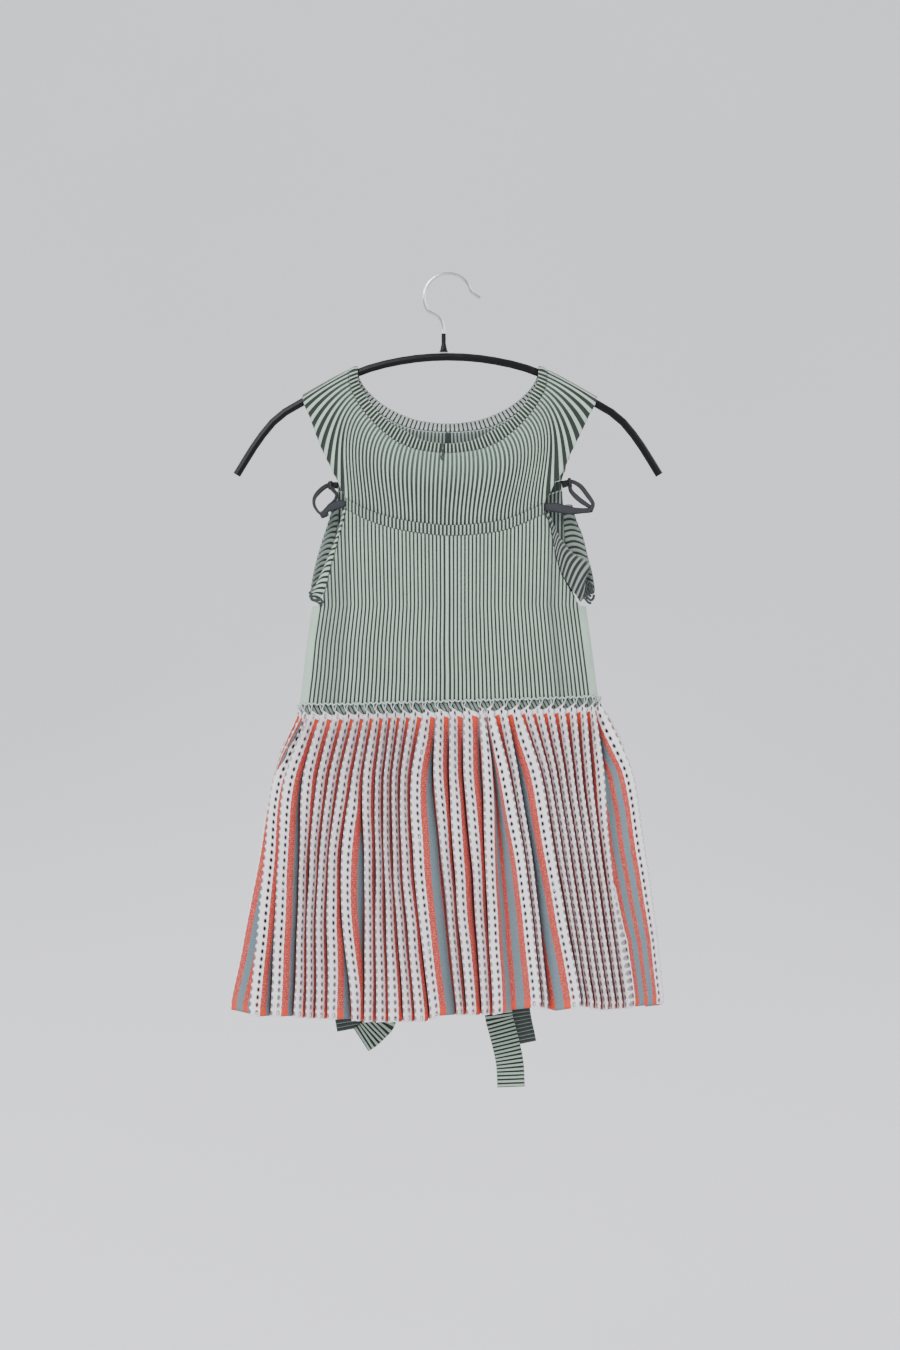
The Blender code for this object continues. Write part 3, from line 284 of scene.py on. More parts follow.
# Ribbon straps, drawn through sliders: name, rows of points, widths at even steps along the route, and
# the route's x, depth and height
RIBBONS = (
    ("left_ribbon_front", 26, (3.4, 7.8, 8.2, 7.0, 5.6, 5.4),
     ((-96.6, -7.0, -220.2), (-106, -8.6, -221.8), (-115.3, -9.2, -226), (-119.6, -8.6, -230.8))),
    ("left_loop_outer", 34, (2.6, 2.8, 3.4, 4.6, 4.8, 4.4),
     ((-120.6, -8, -231), (-124.4, -8, -228.6), (-128.2, -7.2, -222.5), (-128.4, -5.6, -215.5),
      (-124.8, -2, -209.6), (-120, 1.0, -205), (-116.6, 3.2, -202.8), (-113.4, 4.6, -202))),
    ("left_loop_inner", 26, (4.6, 3.2, 2.6, 2.4),
     ((-112.4, 4.0, -203.6), (-110.8, 2, -206.6), (-107.4, 0.6, -211), (-108.2, -2, -215.6),
      (-111.4, -4.4, -219.6), (-115, -6, -222.6), (-118.4, -7.4, -228.2))),
    ("left_ribbon_back", 8, (5.6, 6.6), ((-113.4, 4.8, -202), (-109.4, 6, -202), (-106.2, 7.4, -202.2))),
    ("right_ribbon_front", 34, (7.0, 9.4, 8.6, 7.0, 5.2, 4.8),
     ((92.6, -7.0, -223.6), (104.5, -8.4, -224.6), (118.5, -9, -227.4), (133.8, -9, -227.2),
      (138.2, -8.2, -226.4))),
    ("right_loop_outer", 26, (3.6, 4.6, 4.6, 3.6),
     ((138.4, -7.2, -223.6), (139, -5.4, -219.8), (133.5, -3.6, -211.5), (127.5, -1, -203.6),
      (120.9, 2.4, -199.2), (117.6, 4.2, -198.4))),
    ("right_loop_inner", 26, (3.6, 4.8, 5.0, 4.2, 3.6),
     ((137.2, -7.4, -224.2), (132.6, -6.2, -221.2), (125.5, -4, -216), (119.6, -1.5, -210),
      (117.6, 2.6, -205.8), (117.4, 4.2, -201.5))),
    ("right_ribbon_back", 8, (6.2, 7.2), ((117.6, 4.6, -199.8), (114.9, 5.6, -200.2), (109.9, 7.5, -201.4))))
RIBBON_WIDTH, RIBBON_WALL, RIBBON_CLOTH, RIBBON_SAG = 7.6, 0.9, 0.8, 0.5

# Sliders: name, middle, turn in the front view, length along the strap and height across it
SLIDERS = (("slider_left_front", (-119, -8.0, -230.4), 24, 8.4, 7.4),
           ("slider_left_back", (-113.2, 4.6, -202.2), 6, 5.4, 8.6),
           ("slider_right_front", (137.9, -7.6, -224.7), -22, 4.4, 8.8),
           ("slider_right_back", (117.4, 4.4, -199.7), 8, 3.9, 9.6))
SLIDER_DEPTH, SLIDER_RIM, SLIDER_BAR = 2.8, 1.9, 0.8
SLIDER_WRAP = ((-0.62, 0.3), (-0.3, 1.0), (0, 1.15), (0.3, 1.0), (0.62, 0.3))  # across, and out of its depth

# Ties of rib-knit band: name, node, how far it lies over the skirt, -1 where its wrong side faces
# back, and its route in x and height
TIES = (("right_tie_knit", "tie_right", 0, 1,
         ((38, -406), (38.5, -417), (41, -470), (45, -560), (48, -650), (49, -712), (54, -735),
          (60, -762), (61.5, -787))),
        ("right_tie_end_knit", "tie_right_end", 2.9, -1,
         ((67, -406), (67, -417), (67, -520), (66, -640), (66, -705), (73, -745))),
        ("left_tie_knit", "tie_left_down", 2.9, -1,
         ((-92, -406), (-92, -417), (-95, -500), (-98.5, -600), (-100, -690), (-97.5, -716), (-95, -731))),
        ("left_tie_up_knit", "tie_left_up", 0.8, 1,
         ((-58, -406), (-58, -417), (-57, -520), (-60, -640), (-62, -712), (-72, -731), (-85, -741))))
TIE_WIDTH, TIE_WALL, TIE_CLOTH, TIE_RIB, TIE_CURL = 27.0, 1.6, 1.1, 3.8, 0.5
TIE_SEAM_Z, LAYER_FULL_Z = -412.0, -438.0
SKIRT_CLEAR = 2.6


# Curves and tables
def travelled(points):
    """Length along a line of points, at each of them."""
    return np.concatenate([[0], np.cumsum(np.linalg.norm(np.diff(points, axis=0), axis=1))])


def read_line(at, lengths, line):
    """Points of a line at given lengths along it."""
    return np.column_stack([np.interp(at, lengths, column) for column in line.T])


@functools.lru_cache(maxsize=None)
def dense_line(points):
    """Fine points of a smooth curve through points, and their lengths along it."""
    points = np.array(points, float)
    ends = np.vstack([2 * points[0] - points[1], points, 2 * points[-1] - points[-2]])
    steps = np.linspace(0, 1, 12, endpoint=False)[:, None]
    fine = []
    for a, b, c, d in zip(ends, ends[1:], ends[2:], ends[3:]):
        fine.append(0.5 * (2 * b + (c - a) * steps + (2 * a - 5 * b + 4 * c - d) * steps ** 2
                           + (3 * b - a - 3 * c + d) * steps ** 3))
    fine = np.vstack(fine + [points[-1:]])
    return fine, travelled(fine)


def smooth_line(points, shares):
    """Points at the given shares of the length of a smooth curve through points."""
    fine, lengths = dense_line(tuple(map(tuple, points)))
    return read_line(np.asarray(shares) * lengths[-1], lengths, fine)


def hermite(t, start, start_way, end, end_way):
    """A smooth way from start to end that leaves and arrives in the given directions."""
    return ((2 * t ** 3 - 3 * t ** 2 + 1) * start + (3 * t ** 2 - 2 * t ** 3) * end
            + (t ** 3 - 2 * t ** 2 + t) * start_way + (t ** 3 - t ** 2) * end_way)


def curve(rows, at):
    """The second value of a table of pairs, where the first is at."""
    return np.interp(at, *zip(*rows))


@functools.lru_cache(maxsize=None)
def rising(rows):
    """Columns of a table of heights, from its lowest row up."""
    return np.array(sorted(rows), float).T


def columns_at(rows, z):
    heights, *columns = rising(rows)
    return [np.interp(z, heights, column) for column in columns]


def mirrored(half_line):
    return tuple((-x, z) for x, z in reversed(half_line[1:])) + tuple(half_line)


def unit(vector):
    return np.array(vector) / max(np.linalg.norm(vector), 1e-9)


def heading(line, number, reach=1):
    """Direction of a line of points at one of them."""
    return unit(line[min(number + reach, len(line) - 1)] - line[max(number - reach, 0)])


def wobble(x, y, z, size):
    """Smooth noise from -1 to 1 whose bumps are about the given size."""
    return noise.noise(Vector((x / size, y / size, z / size)))


# Cloth depth
BOW_LINE = smooth_line(mirrored(BOW_HALF), np.linspace(0, 1, 121))


def bow_height(x):
    return np.interp(x, *BOW_LINE.T)


def bow_tilt(x):
    """Cosine of the bow's slope."""
    rise = bow_height(abs(x) + 2) - bow_height(abs(x) - 2)
    return 4 / math.hypot(4, rise)


class Ring(namedtuple("Ring", "middle flat depth crown")):
    """Half of a plan outline: a crowned front that is flat wide each way, and a quarter circle each side."""

    @property
    def half(self):
        return self.flat + self.depth * math.pi / 2


def ring_between(left, right, depth, crown):
    return Ring((left + right) / 2, (right - left) / 2 - depth, depth, crown)


@functools.lru_cache(maxsize=None)
def bodice_ring(z):
    drop = max(SHOULDER_Z - z, 0)
    depth = WRAP_RADIUS + curve(FULLNESS, drop)
    return ring_between(*columns_at(BODICE_OUTLINE, z), depth, CROWN * min(1, drop / CROWN_DROP))


@functools.lru_cache(maxsize=None)
def skirt_ring(z):
    return ring_between(*columns_at(SKIRT_RINGS, z)[:4])


def ring_point(share, ring, inward, side):
    """Plan point at a share of a ring's half, from -1 to 1, and a depth under the cloth's face."""
    along = abs(share) * ring.half
    if along <= ring.flat:
        x, y = along, ring.depth + ring.crown * (1 - (along / ring.flat) ** 2) - inward
    else:
        turn = (along - ring.flat) / ring.depth
        x, y = ring.flat + (ring.depth - inward) * math.sin(turn), (ring.depth - inward) * math.cos(turn)
    return ring.middle + math.copysign(x, share), side * max(y, 0)


def ring_share(x, ring):
    away = abs(x - ring.middle)
    along = away
    if away > ring.flat:
        along = ring.flat + ring.depth * math.asin(min((away - ring.flat) / ring.depth, 1))
    return math.copysign(along / ring.half, x - ring.middle)


def shoulder_point(x, z, inward, side, at_fold=False, seam=SEAM_GAP / 2):
    """Point at x and z on the cloth, which wraps the hanger's tube above its axis.

    at_fold puts it at the top of the wrap, half a seam from the other side's cloth.
    """
    axis, tilt = bow_height(x), bow_tilt(x)
    radius = WRAP_RADIUS - inward
    limit = math.sqrt(radius ** 2 - seam ** 2)
    above = limit if at_fold else min((z - axis) * tilt * radius / WRAP_RADIUS, limit)
    if above > 0:
        return x, side * math.sqrt(radius ** 2 - above ** 2), axis + above / tilt
    ring = bodice_ring(z)
    rise = ring.crown * max(1 - ((x - ring.middle) / ring.flat) ** 2, 0)
    return x, side * (ring.depth + rise - inward), z


# Materials
def node_operator(operation):
    return lambda self, other: self.recipe.math(operation, self, other)


class Value:
    """A node's output. Arithmetic with it adds nodes to its recipe."""

    def __init__(self, recipe, socket):
        self.recipe, self.socket = recipe, socket

    __add__, __sub__ = node_operator("ADD"), node_operator("SUBTRACT")
    __mul__, __truediv__ = node_operator("MULTIPLY"), node_operator("DIVIDE")
    __pow__ = node_operator("POWER")


class Recipe:
    """Builds one material from nodes. An input is a number, a colour or another node's Value."""

    def __init__(self, name, roughness, **constants):
        self.made = bpy.data.materials.new(name)
        self.made.use_nodes = True
        self.tree = self.made.node_tree
        self.shader = self.tree.nodes["Principled BSDF"]
        for key, value in {"Roughness": roughness, **constants}.items():
            self.shader.inputs[key.replace("_", " ")].default_value = value

    def put(self, socket, value):
        if isinstance(value, Value):
            self.tree.links.new(value.socket, socket)
        elif isinstance(value, tuple):
            socket.default_value = (*value, 1)
        else:
            socket.default_value = value

    def node(self, kind, output, inputs, **settings):
        """Adds a node. inputs maps the names or numbers of its sockets to what goes in."""
        node = self.tree.nodes.new("ShaderNode" + kind)
        for key, value in settings.items():
            setattr(node, key, value)
        for key, value in inputs.items():
            self.put(node.inputs[key], value)
        return Value(self, node.outputs[output])

    def math(self, operation, *values):
        return self.node("Math", 0, dict(enumerate(values)), operation=operation)

    def read(self, name):
        return self.node("Attribute", "Fac", {}, attribute_name=name)

    def cloud(self, scale, detail=2.0):
        place = self.node("TexCoord", "Object", {})
        return self.node("TexNoise", "Fac", {"Vector": place, "Scale": scale, "Detail": detail})

    def step(self, value, low, high):
        """0 below low, 1 above high, smooth between."""
        return self.node("MapRange", "Result", {"Value": value, "From Min": low, "From Max": high},
                         interpolation_type="SMOOTHSTEP")

    def below(self, value, place, blur):
        """1 below place and 0 above it."""
        return self.step(value, place + blur, place - blur)

    def mix(self, share, first, second):
        return self.node("Mix", 2, {0: share, 6: first, 7: second}, data_type="RGBA")

    def wave(self, value, pitch):
        """A sine of value, from 0 to 1, with the given pitch."""
        return self.math("SINE", value * (2 * math.pi / pitch)) * 0.5 + 0.5

    def away(self, value, pitch):
        """Distance from the nearest whole multiple of pitch."""
        share = self.math("FRACT", value / pitch + 0.5)
        return self.math("ABSOLUTE", share - 0.5) * pitch

    def finish(self, colour, height=None, depth=0, rough=None):
        """The finished material. depth is how deep its bumps are."""
        self.put(self.shader.inputs["Base Color"], colour)
        if rough is not None:
            self.put(self.shader.inputs["Roughness"], rough)
        if height is not None:
            bump = self.node("Bump", "Normal", {"Strength": 1.0, "Distance": depth * MM, "Height": height})
            self.put(self.shader.inputs["Normal"], bump)
        return self.made


def colour(red, green, blue):
    """A linear colour from the 0 to 255 values seen in the photograph."""
    return tuple(((value / 255 + 0.055) / 1.055) ** 2.4 for value in (red, green, blue))


MINT, MINT_LOW = colour(173, 197, 178), colour(151, 176, 158)
# The first colour is the charcoal yarn, painted darker with the shade in the rib grooves; it also paints the
# shade in the pleat tips' eyelets
CHARCOAL_AND_SHADE, PALE_GROOVE = colour(24, 34, 29), colour(104, 126, 114)
BAND_RIB, BAND_RIB_LOW = colour(142, 152, 148), colour(112, 124, 118)
BACK_RIB, BACK_RIB_LOW = colour(132, 146, 138), colour(104, 118, 110)
NECK_RIB, NECK_RIB_LOW = colour(190, 202, 196), colour(158, 170, 164)
INSIDE, INSIDE_LINE = colour(60, 70, 67), colour(146, 160, 152)
WHITE, WHITE_LOW = colour(252, 250, 252), colour(230, 226, 233)
CORAL, CORAL_LOW, FLECK = colour(190, 62, 50), colour(148, 38, 38), colour(238, 150, 136)
SQUARE, SQUARE_LOW = colour(222, 74, 44), colour(196, 52, 30)
SLATE, SLATE_LOW = colour(112, 134, 142), colour(90, 110, 118)
# Painted shade in and around the skirt's eyelets
EYELET_PAINTED_SHADE = colour(92, 84, 92)


def knit_stitches(recipe, across, along, wale=1.3, course=0.95):
    """Height of small knit stitches, slanted both ways in each wale."""
    return recipe.wave(along + recipe.away(across, wale) * 1.1, course)


def rib_cloth(name, high, low, groove_from, groove_to, shift=0.0):
    """Ribs with a charcoal yarn in their grooves, painted darker with the grooves' shade, and paler where
    the cloth is drawn together.

    shift moves the grooves, in ribs: half a rib on the wrong side, whose hollows lie there.
    """
    recipe = Recipe(name, 0.88, Sheen_Weight=0.25, Sheen_Roughness=0.5)
    rib = recipe.read("rib")
    uneven = recipe.away(rib + shift, 1.0) + (recipe.cloud(900) * 0.06 - 0.03)
    on_rib = recipe.step(uneven, groove_from, groove_to)
    stitch = knit_stitches(recipe, rib * 3.8, recipe.read("along"))
    patch = recipe.step(recipe.cloud(35), 0.3, 0.7)
    shade = recipe.mix(stitch * 0.35, recipe.mix(patch * 0.5, high, low), low)
    # The grooves' charcoal carries painted shade
    groove = recipe.mix(recipe.read("drawn"), CHARCOAL_AND_SHADE, PALE_GROOVE)
    return recipe.finish(recipe.mix(on_rib, groove, shade), stitch, 0.22)


rib_outside = functools.partial(rib_cloth, "mint_rib_knit", MINT, MINT_LOW, 0.2, 0.27)
yoke_outside = functools.partial(rib_cloth, "yoke_rib_knit", MINT, MINT_LOW, 0.25, 0.32)
neck_outside = functools.partial(rib_cloth, "neck_rib_knit", MINT, MINT_LOW, 0.3, 0.37)
neck_inside = functools.partial(rib_cloth, "neck_wrong_side", NECK_RIB, NECK_RIB_LOW, 0.34, 0.42, 0.5)
band_outside = functools.partial(rib_cloth, "armhole_rib_knit", BAND_RIB, BAND_RIB_LOW, 0.26, 0.34)
band_inside = functools.partial(rib_cloth, "armhole_wrong_side", BACK_RIB, BACK_RIB_LOW, 0.28, 0.38, 0.5)
strip_outside = functools.partial(rib_cloth, "strip_rib_knit", BACK_RIB, BACK_RIB_LOW, 0.22, 0.3)


def rib_inside():
    """The wrong side: charcoal, with a thin pale line behind each groove."""
    recipe = Recipe("charcoal_rib_knit", 0.92, Sheen_Weight=0.2, Sheen_Roughness=0.5)
    rib = recipe.read("rib")
    line = recipe.below(recipe.away(rib, 1.0), 0.07, 0.03)
    stitch = knit_stitches(recipe, rib * 3.8, recipe.read("along"))
    dark = recipe.mix(stitch * 0.5, INSIDE, CHARCOAL_AND_SHADE)
    return recipe.finish(recipe.mix(line, dark, INSIDE_LINE), stitch, 0.2)


def pleat_cloth():
    """Vertical stripes: openwork white on the ridges, coral and slate in the folds, with painted shade at
    the eyelets and at each pleat's tip.
    """
    recipe = Recipe("striped_pleat_knit", 0.85, Sheen_Weight=0.2, Sheen_Roughness=0.5)
    mix, below, read = recipe.mix, recipe.below, recipe.read
    across, up, down = read("cloth_u"), read("cloth_v"), read("cloth_t")
    beside = recipe.away(across, PLEAT_CLOTH)
    course = recipe.wave(up, 1.7)
    fine = knit_stitches(recipe, across, up, 1.4, 1.1)
    grain = recipe.cloud(1100, 1.0)
    fleck = recipe.step(recipe.cloud(1500, 0.0), 0.6, 0.68)

    scallop = recipe.wave(up, EYELET_PITCH) * 0.4 - 0.2
    in_white = recipe.math("MAXIMUM", below(beside + scallop, WHITE_EDGE, 0.2), below(down, TOP_BORDER, 0.3))
    in_slate = recipe.step(beside, CORAL_EDGE - 0.2, CORAL_EDGE + 0.2) * below(beside, SLATE_EDGE, 0.2)
    in_square = below(recipe.math("MINIMUM", up, down - TOP_BORDER), SQUARE_TALL, 0.3)
    coral = mix(fleck * 0.65, mix(course * 0.7, CORAL, CORAL_LOW), FLECK)
    coral = mix(in_square, coral, mix(grain, SQUARE, SQUARE_LOW))
    shade = mix(in_slate, coral, mix(grain, SLATE, SLATE_LOW))

    # Painted shade: a dark oval over each cut eyelet and the white around it
    from_hole = recipe.away(read("course") + 1.0, 2.0)
    reach = ((beside - EYELET_OFF) / 2.0) ** 2.0 + (from_hole / 0.72) ** 2.0
    white = mix(recipe.step(reach, 1.25, 0.6) * 0.75, mix(fine, WHITE, WHITE_LOW), EYELET_PAINTED_SHADE)
    # Painted shade: a dark eyelet at the top of each pleat, where no hole is cut
    tip_eyelet_shade_reach = ((down - 3.4) / 1.5) ** 2.0 + ((read("fold") - 1.9) / 1.2) ** 2.0
    white = mix(below(tip_eyelet_shade_reach, 1.0, 0.2), white, CHARCOAL_AND_SHADE)
    return recipe.finish(mix(in_white, shade, white), course * 0.6 + fine * 0.4, 0.35)


def ribbon_weave(recipe):
    return recipe.wave(recipe.read("along"), 0.5) + recipe.wave(recipe.read("rib"), 0.5)


def satin_ribbon():
    recipe = Recipe("grey_satin_ribbon", 0.46, Specular_IOR_Level=0.25)
    edge = recipe.below(recipe.away(recipe.read("rib") + RIBBON_WIDTH / 2, RIBBON_WIDTH), 0.4, 0.2)
    body = recipe.mix(recipe.cloud(160), colour(44, 46, 50), colour(32, 34, 38))
    return recipe.finish(recipe.mix(edge, body, colour(28, 29, 33)), ribbon_weave(recipe), 0.06)


def painted_shade_ribbon():
    """The loop strands and back ends: the same ribbon, rougher, with its colour darkened by painted shade.
    """
    recipe = Recipe("painted_shade_ribbon", 0.7)
    # Painted shade: the ribbon's colour made darker for the strands that lie back from the front
    body = recipe.mix(recipe.cloud(200), colour(40, 40, 46), colour(26, 26, 31))
    return recipe.finish(body, ribbon_weave(recipe), 0.06)


def bind_off_yarn():
    recipe = Recipe("pale_bind_off_yarn", 0.9)
    twist = recipe.wave(recipe.read("along") + recipe.read("rib"), 1.3)
    return recipe.finish(recipe.mix(twist, colour(216, 226, 220), colour(150, 166, 160)), twist, 0.25)


def dark_yarn():
    recipe = Recipe("dark_yarn", 0.92)
    strand = recipe.cloud(1400)
    return recipe.finish(recipe.mix(strand, colour(30, 34, 36), colour(64, 70, 70)), strand, 0.3)


def black_coating():
    recipe = Recipe("black_coated_tube", 0.4, Specular_IOR_Level=0.16)
    scuff = recipe.step(recipe.cloud(60, 4.0), 0.56, 0.75)
    body = recipe.mix(scuff * 0.5, colour(9, 9, 10), colour(28, 28, 30))
    return recipe.finish(body, recipe.cloud(700), 0.05, scuff * 0.2 + 0.36)


def chrome_wire():
    recipe = Recipe("chrome_wire", 0.2, Metallic=1.0)
    haze = recipe.cloud(240, 4.0)
    body = recipe.mix(haze, colour(206, 206, 208), colour(150, 150, 154))
    return recipe.finish(body, haze, 0.02, haze * 0.2 + 0.14)


def slider_gloss():
    recipe = Recipe("dark_slider", 0.24, Coat_Weight=0.3)
    cloud = recipe.cloud(500)
    return recipe.finish(recipe.mix(cloud, colour(24, 25, 29), colour(40, 42, 47)), cloud, 0.03)


def stage_paint():
    recipe = Recipe("pale_studio", 0.9)
    return recipe.finish(recipe.mix(recipe.cloud(2.0), colour(238, 238, 242), colour(234, 234, 238)))


@functools.lru_cache(maxsize=None)
def surface(make):
    return make()


# Shells
EYELET_RING = ((-1, -1), (-1, 0), (-1, 1), (0, 1), (1, 1), (1, 0), (1, -1), (0, -1))  # rows, columns


def add_object(name, points, faces, values, finishes):
    """A smooth object from millimetre points, with a value for each point under each name."""
    mesh = bpy.data.meshes.new(name)
    mesh.from_pydata((np.array(points) * MM).tolist(), [], faces)
    for key, numbers in values.items():
        mesh.attributes.new(key, "FLOAT", "POINT").data.foreach_set("value", list(numbers))
    for make in finishes:
        mesh.materials.append(surface(make))
    mesh.shade_smooth()
    made = bpy.data.objects.new(name, mesh)
    bpy.context.scene.collection.objects.link(made)
    return made


def shell(name, points, attributes, finishes, thickness, wraps=False, holes=(), outward=1):
    """A cloth shell from rows of millimetre points.

    attributes maps a name to values that fit the rows and columns. holes lists the middle row and
    column of each eyelet. The wall grows inward from the points.
    """
    rows, columns = np.shape(points)[:2]
    data = np.dstack([points, *(np.broadcast_to(grid, (rows, columns)) for grid in attributes.values())])
    spots = list(data.reshape(rows * columns, -1))
    faces, skipped, dead = [], set(), set()
    for row, column in holes:
        centre = data[row, column]
        first = len(spots)
        for number, (down, over) in enumerate(EYELET_RING):
            share = EYELET_CORNER if down and over else 1.0
            spot = centre.copy()
            for step, radius in (((down, 0), EYELET_HEIGHT), ((0, over), EYELET_WIDTH)):
                if any(step):
                    way = data[row + step[0], column + step[1]] - centre
                    spot += way * min(radius * share / max(np.linalg.norm(way[:3]), 1e-6), EYELET_MOST)
            spots.append(spot)
            after = (number + 1) % len(EYELET_RING)
            next_down, next_over = EYELET_RING[after]
            faces.append(((row + down) * columns + column + over,
                          (row + next_down) * columns + column + next_over, first + after, first + number))
        skipped |= {(row - 1, column - 1), (row - 1, column), (row, column - 1), (row, column)}
        dead.add(row * columns + column)
    for row in range(rows - 1):
        for column in range(columns if wraps else columns - 1):
            if (row, column) not in skipped:
                a = row * columns + column
                b = row * columns + (column + 1) % columns
                faces.append((a, b, b + columns, a + columns))
    keep = [number for number in range(len(spots)) if number not in dead]
    renumber = {old: new for new, old in enumerate(keep)}
    kept = np.array([spots[number] for number in keep])
    made = add_object(name, kept[:, :3], [[renumber[spot] for spot in face[::outward]] for face in faces],
                      dict(zip(attributes, kept[:, 3:].T)), finishes)
    if thickness:
        solid = made.modifiers.new("wall", "SOLIDIFY")
        solid.thickness = thickness * MM
        solid.offset = -1
        solid.use_even_offset = False
        solid.material_offset = len(finishes) - 1
        solid.material_offset_rim = 0
    return made


def tube(name, routes, radius, finish, sides=6):
    """Thin yarns or wires, in one piece, along routes of millimetre points."""
    turns = np.arange(sides) * 2 * math.pi / sides
    points, faces, along = [], [], []
    for route in routes:
        route = np.array(route, float)
        first = len(points)
        normal = np.array((0.0, 1.0, 0.0))
        for number, spot in enumerate(route):
            ahead = heading(route, number)
            normal = unit(normal - ahead * (normal @ ahead))
            around = np.outer(np.cos(turns), normal) + np.outer(np.sin(turns), np.cross(ahead, normal))
            points.extend(spot + radius * around)
        along.extend(np.repeat(travelled(route), sides))
        for start in range(first, len(points) - sides, sides):
            for side in range(sides):
                a, b = start + side, start + (side + 1) % sides
                faces.append((a, b, b + sides, a + sides))
        faces.append(tuple(range(first + sides - 1, first - 1, -1)))
        faces.append(tuple(range(len(points) - sides, len(points))))
    ribs = np.tile(np.arange(sides) * 1.3 / sides, len(points) // sides)
    return add_object(name, points, faces, {"rib": ribs, "along": along}, (finish,))


def stand_for(piece, slot, *nodes):
    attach(piece, "root")
    if nodes:
        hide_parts(*nodes)


def rib_columns(ribs):
    """Place along the ribs, in ribs, and the lift there, for each column."""
    phases, lifts = np.array(RIB_PROFILE).T
    return np.append(np.add.outer(np.arange(ribs), phases), ribs), np.append(np.tile(lifts, ribs), lifts[0])


# Yokes
def yoke_column(share, neck, half, shares):
    """One column of the yoke, which fans out from the neckband to the drawn band or the armhole."""
    spot, before, after = smooth_line(neck, np.clip([share + 1, share + 0.98, share + 1.02], 0, 2) / 2)
    along = unit(after - before)
    start_way = np.array((along[1], -along[0]))
    spot = spot + start_way * SEAM_GAP
    end_way = np.array((0.0, -1.0))
    if abs(share) <= BAND_SHARE:
        end = smooth_line(half.band_top, [(share / BAND_SHARE + 1) / 2])[0]
    else:
        beyond = (abs(share) - BAND_SHARE) / (1 - BAND_SHARE)
        edge = half.arm_left if share < 0 else half.arm_right
        end = smooth_line(edge, [1 - (1 - beyond) ** EDGE_CROWDING])[0]
        end_way = unit(end - spot) * beyond + end_way * (1 - beyond)
    start_way = start_way * (1 - share ** 6) + unit(end - spot) * share ** 6
    reach = np.linalg.norm(end - spot)
    return hermite(shares[:, None], spot, start_way * reach, end, end_way * reach)


def make_yoke(half):
    neck = mirrored(half.neck_outer)
    places, lifts = rib_columns(NECK_RIBS)
    shares = np.linspace(0, 1, 22)
    columns, along, drawn = [], [], []
    for place, lift in zip(places, lifts):
        share = 2 * place / NECK_RIBS - 1
        fade = min(1, 4 * (1 - abs(share)))
        column = []
        for t, (x, z) in zip(shares, yoke_column(share, neck, half, shares)):
            sway = YOKE_SWAY * wobble(place * 2.2, z, half.side, 60) * math.sin(math.pi * t)
            at_fold = abs(share) > 0.9999
            column.append(shoulder_point(x + sway * fade, z, -lift * fade, half.side, at_fold))
        columns.append(column)
        along.append(travelled(column))
        drawn.append(DRAWN_MOST * (1 - share ** 4) * np.clip(1 - along[-1] / DRAWN_LENGTH, 0, 1))
    values = {"rib": places, "along": np.transpose(along), "drawn": np.transpose(drawn)}
    piece = shell(f"yoke_{half.name}_knit", np.swapaxes(columns, 0, 1), values,
                  (yoke_outside, rib_inside), PANEL_CLOTH, outward=half.side)
    stand_for(piece, "mint_knit", f"yoke_{half.name}")


def make_neckband():
    across = np.linspace(0, 1, 7)
    bulge = np.sin(math.pi * across)
    columns, ribs = [], []
    for half, turn, start in ((FRONT, 1, 0), (BACK, -1, FRONT.neckband_ribs)):
        inner_edge, outer_edge = mirrored(half.neck_inner)[::turn], mirrored(half.neck_outer)[::turn]
        places, lifts = rib_columns(half.neckband_ribs)
        for place, lift in zip(places[:-1], lifts[:-1]):
            share = place / half.neckband_ribs
            inner_spot, outer_spot = smooth_line(inner_edge, [share]), smooth_line(outer_edge, [share])
            line = np.outer(1 - across, inner_spot) + np.outer(across, outer_spot)
            raised = lift * (0.6 + 0.4 * bulge) + NECK_SWELL * bulge
            columns.append([shoulder_point(x, z, -out, half.side, share == 0, 0.0)
                            for (x, z), out in zip(line, raised)])
            ribs.append(start + place)
    values = {"rib": ribs, "along": (across * 9)[:, None]}
    piece = shell("neckband_knit", np.swapaxes(columns, 0, 1), values, (neck_outside, neck_inside),
                  NECKBAND_CLOTH, wraps=True, outward=-1)
    stand_for(piece, "mint_knit", "neckband")


def make_yoke_band(half):
    places, lifts = rib_columns(BAND_RIBS)
    edge = smooth_line(half.band_top, places / BAND_RIBS)
    drops = np.linspace(SEAM_GAP, BAND_HEIGHT - SEAM_GAP, 9)
    points = []
    for drop, turn in zip(drops, np.linspace(0, math.pi, 9)):
        swell = BAND_SWELL + BAND_BULGE * math.sin(turn)
        points.append([shoulder_point(x, z - drop, -(0.8 * lift + swell), half.side)
                       for (x, z), lift in zip(edge, lifts)])
    piece = shell(f"drawn_band_{half.name}", points, {"rib": places + 0.5, "along": drops[:, None]},
                  (yoke_outside, rib_inside), WALL, outward=half.side)
    stand_for(piece, "mint_knit", f"yoke_band_{half.name}")


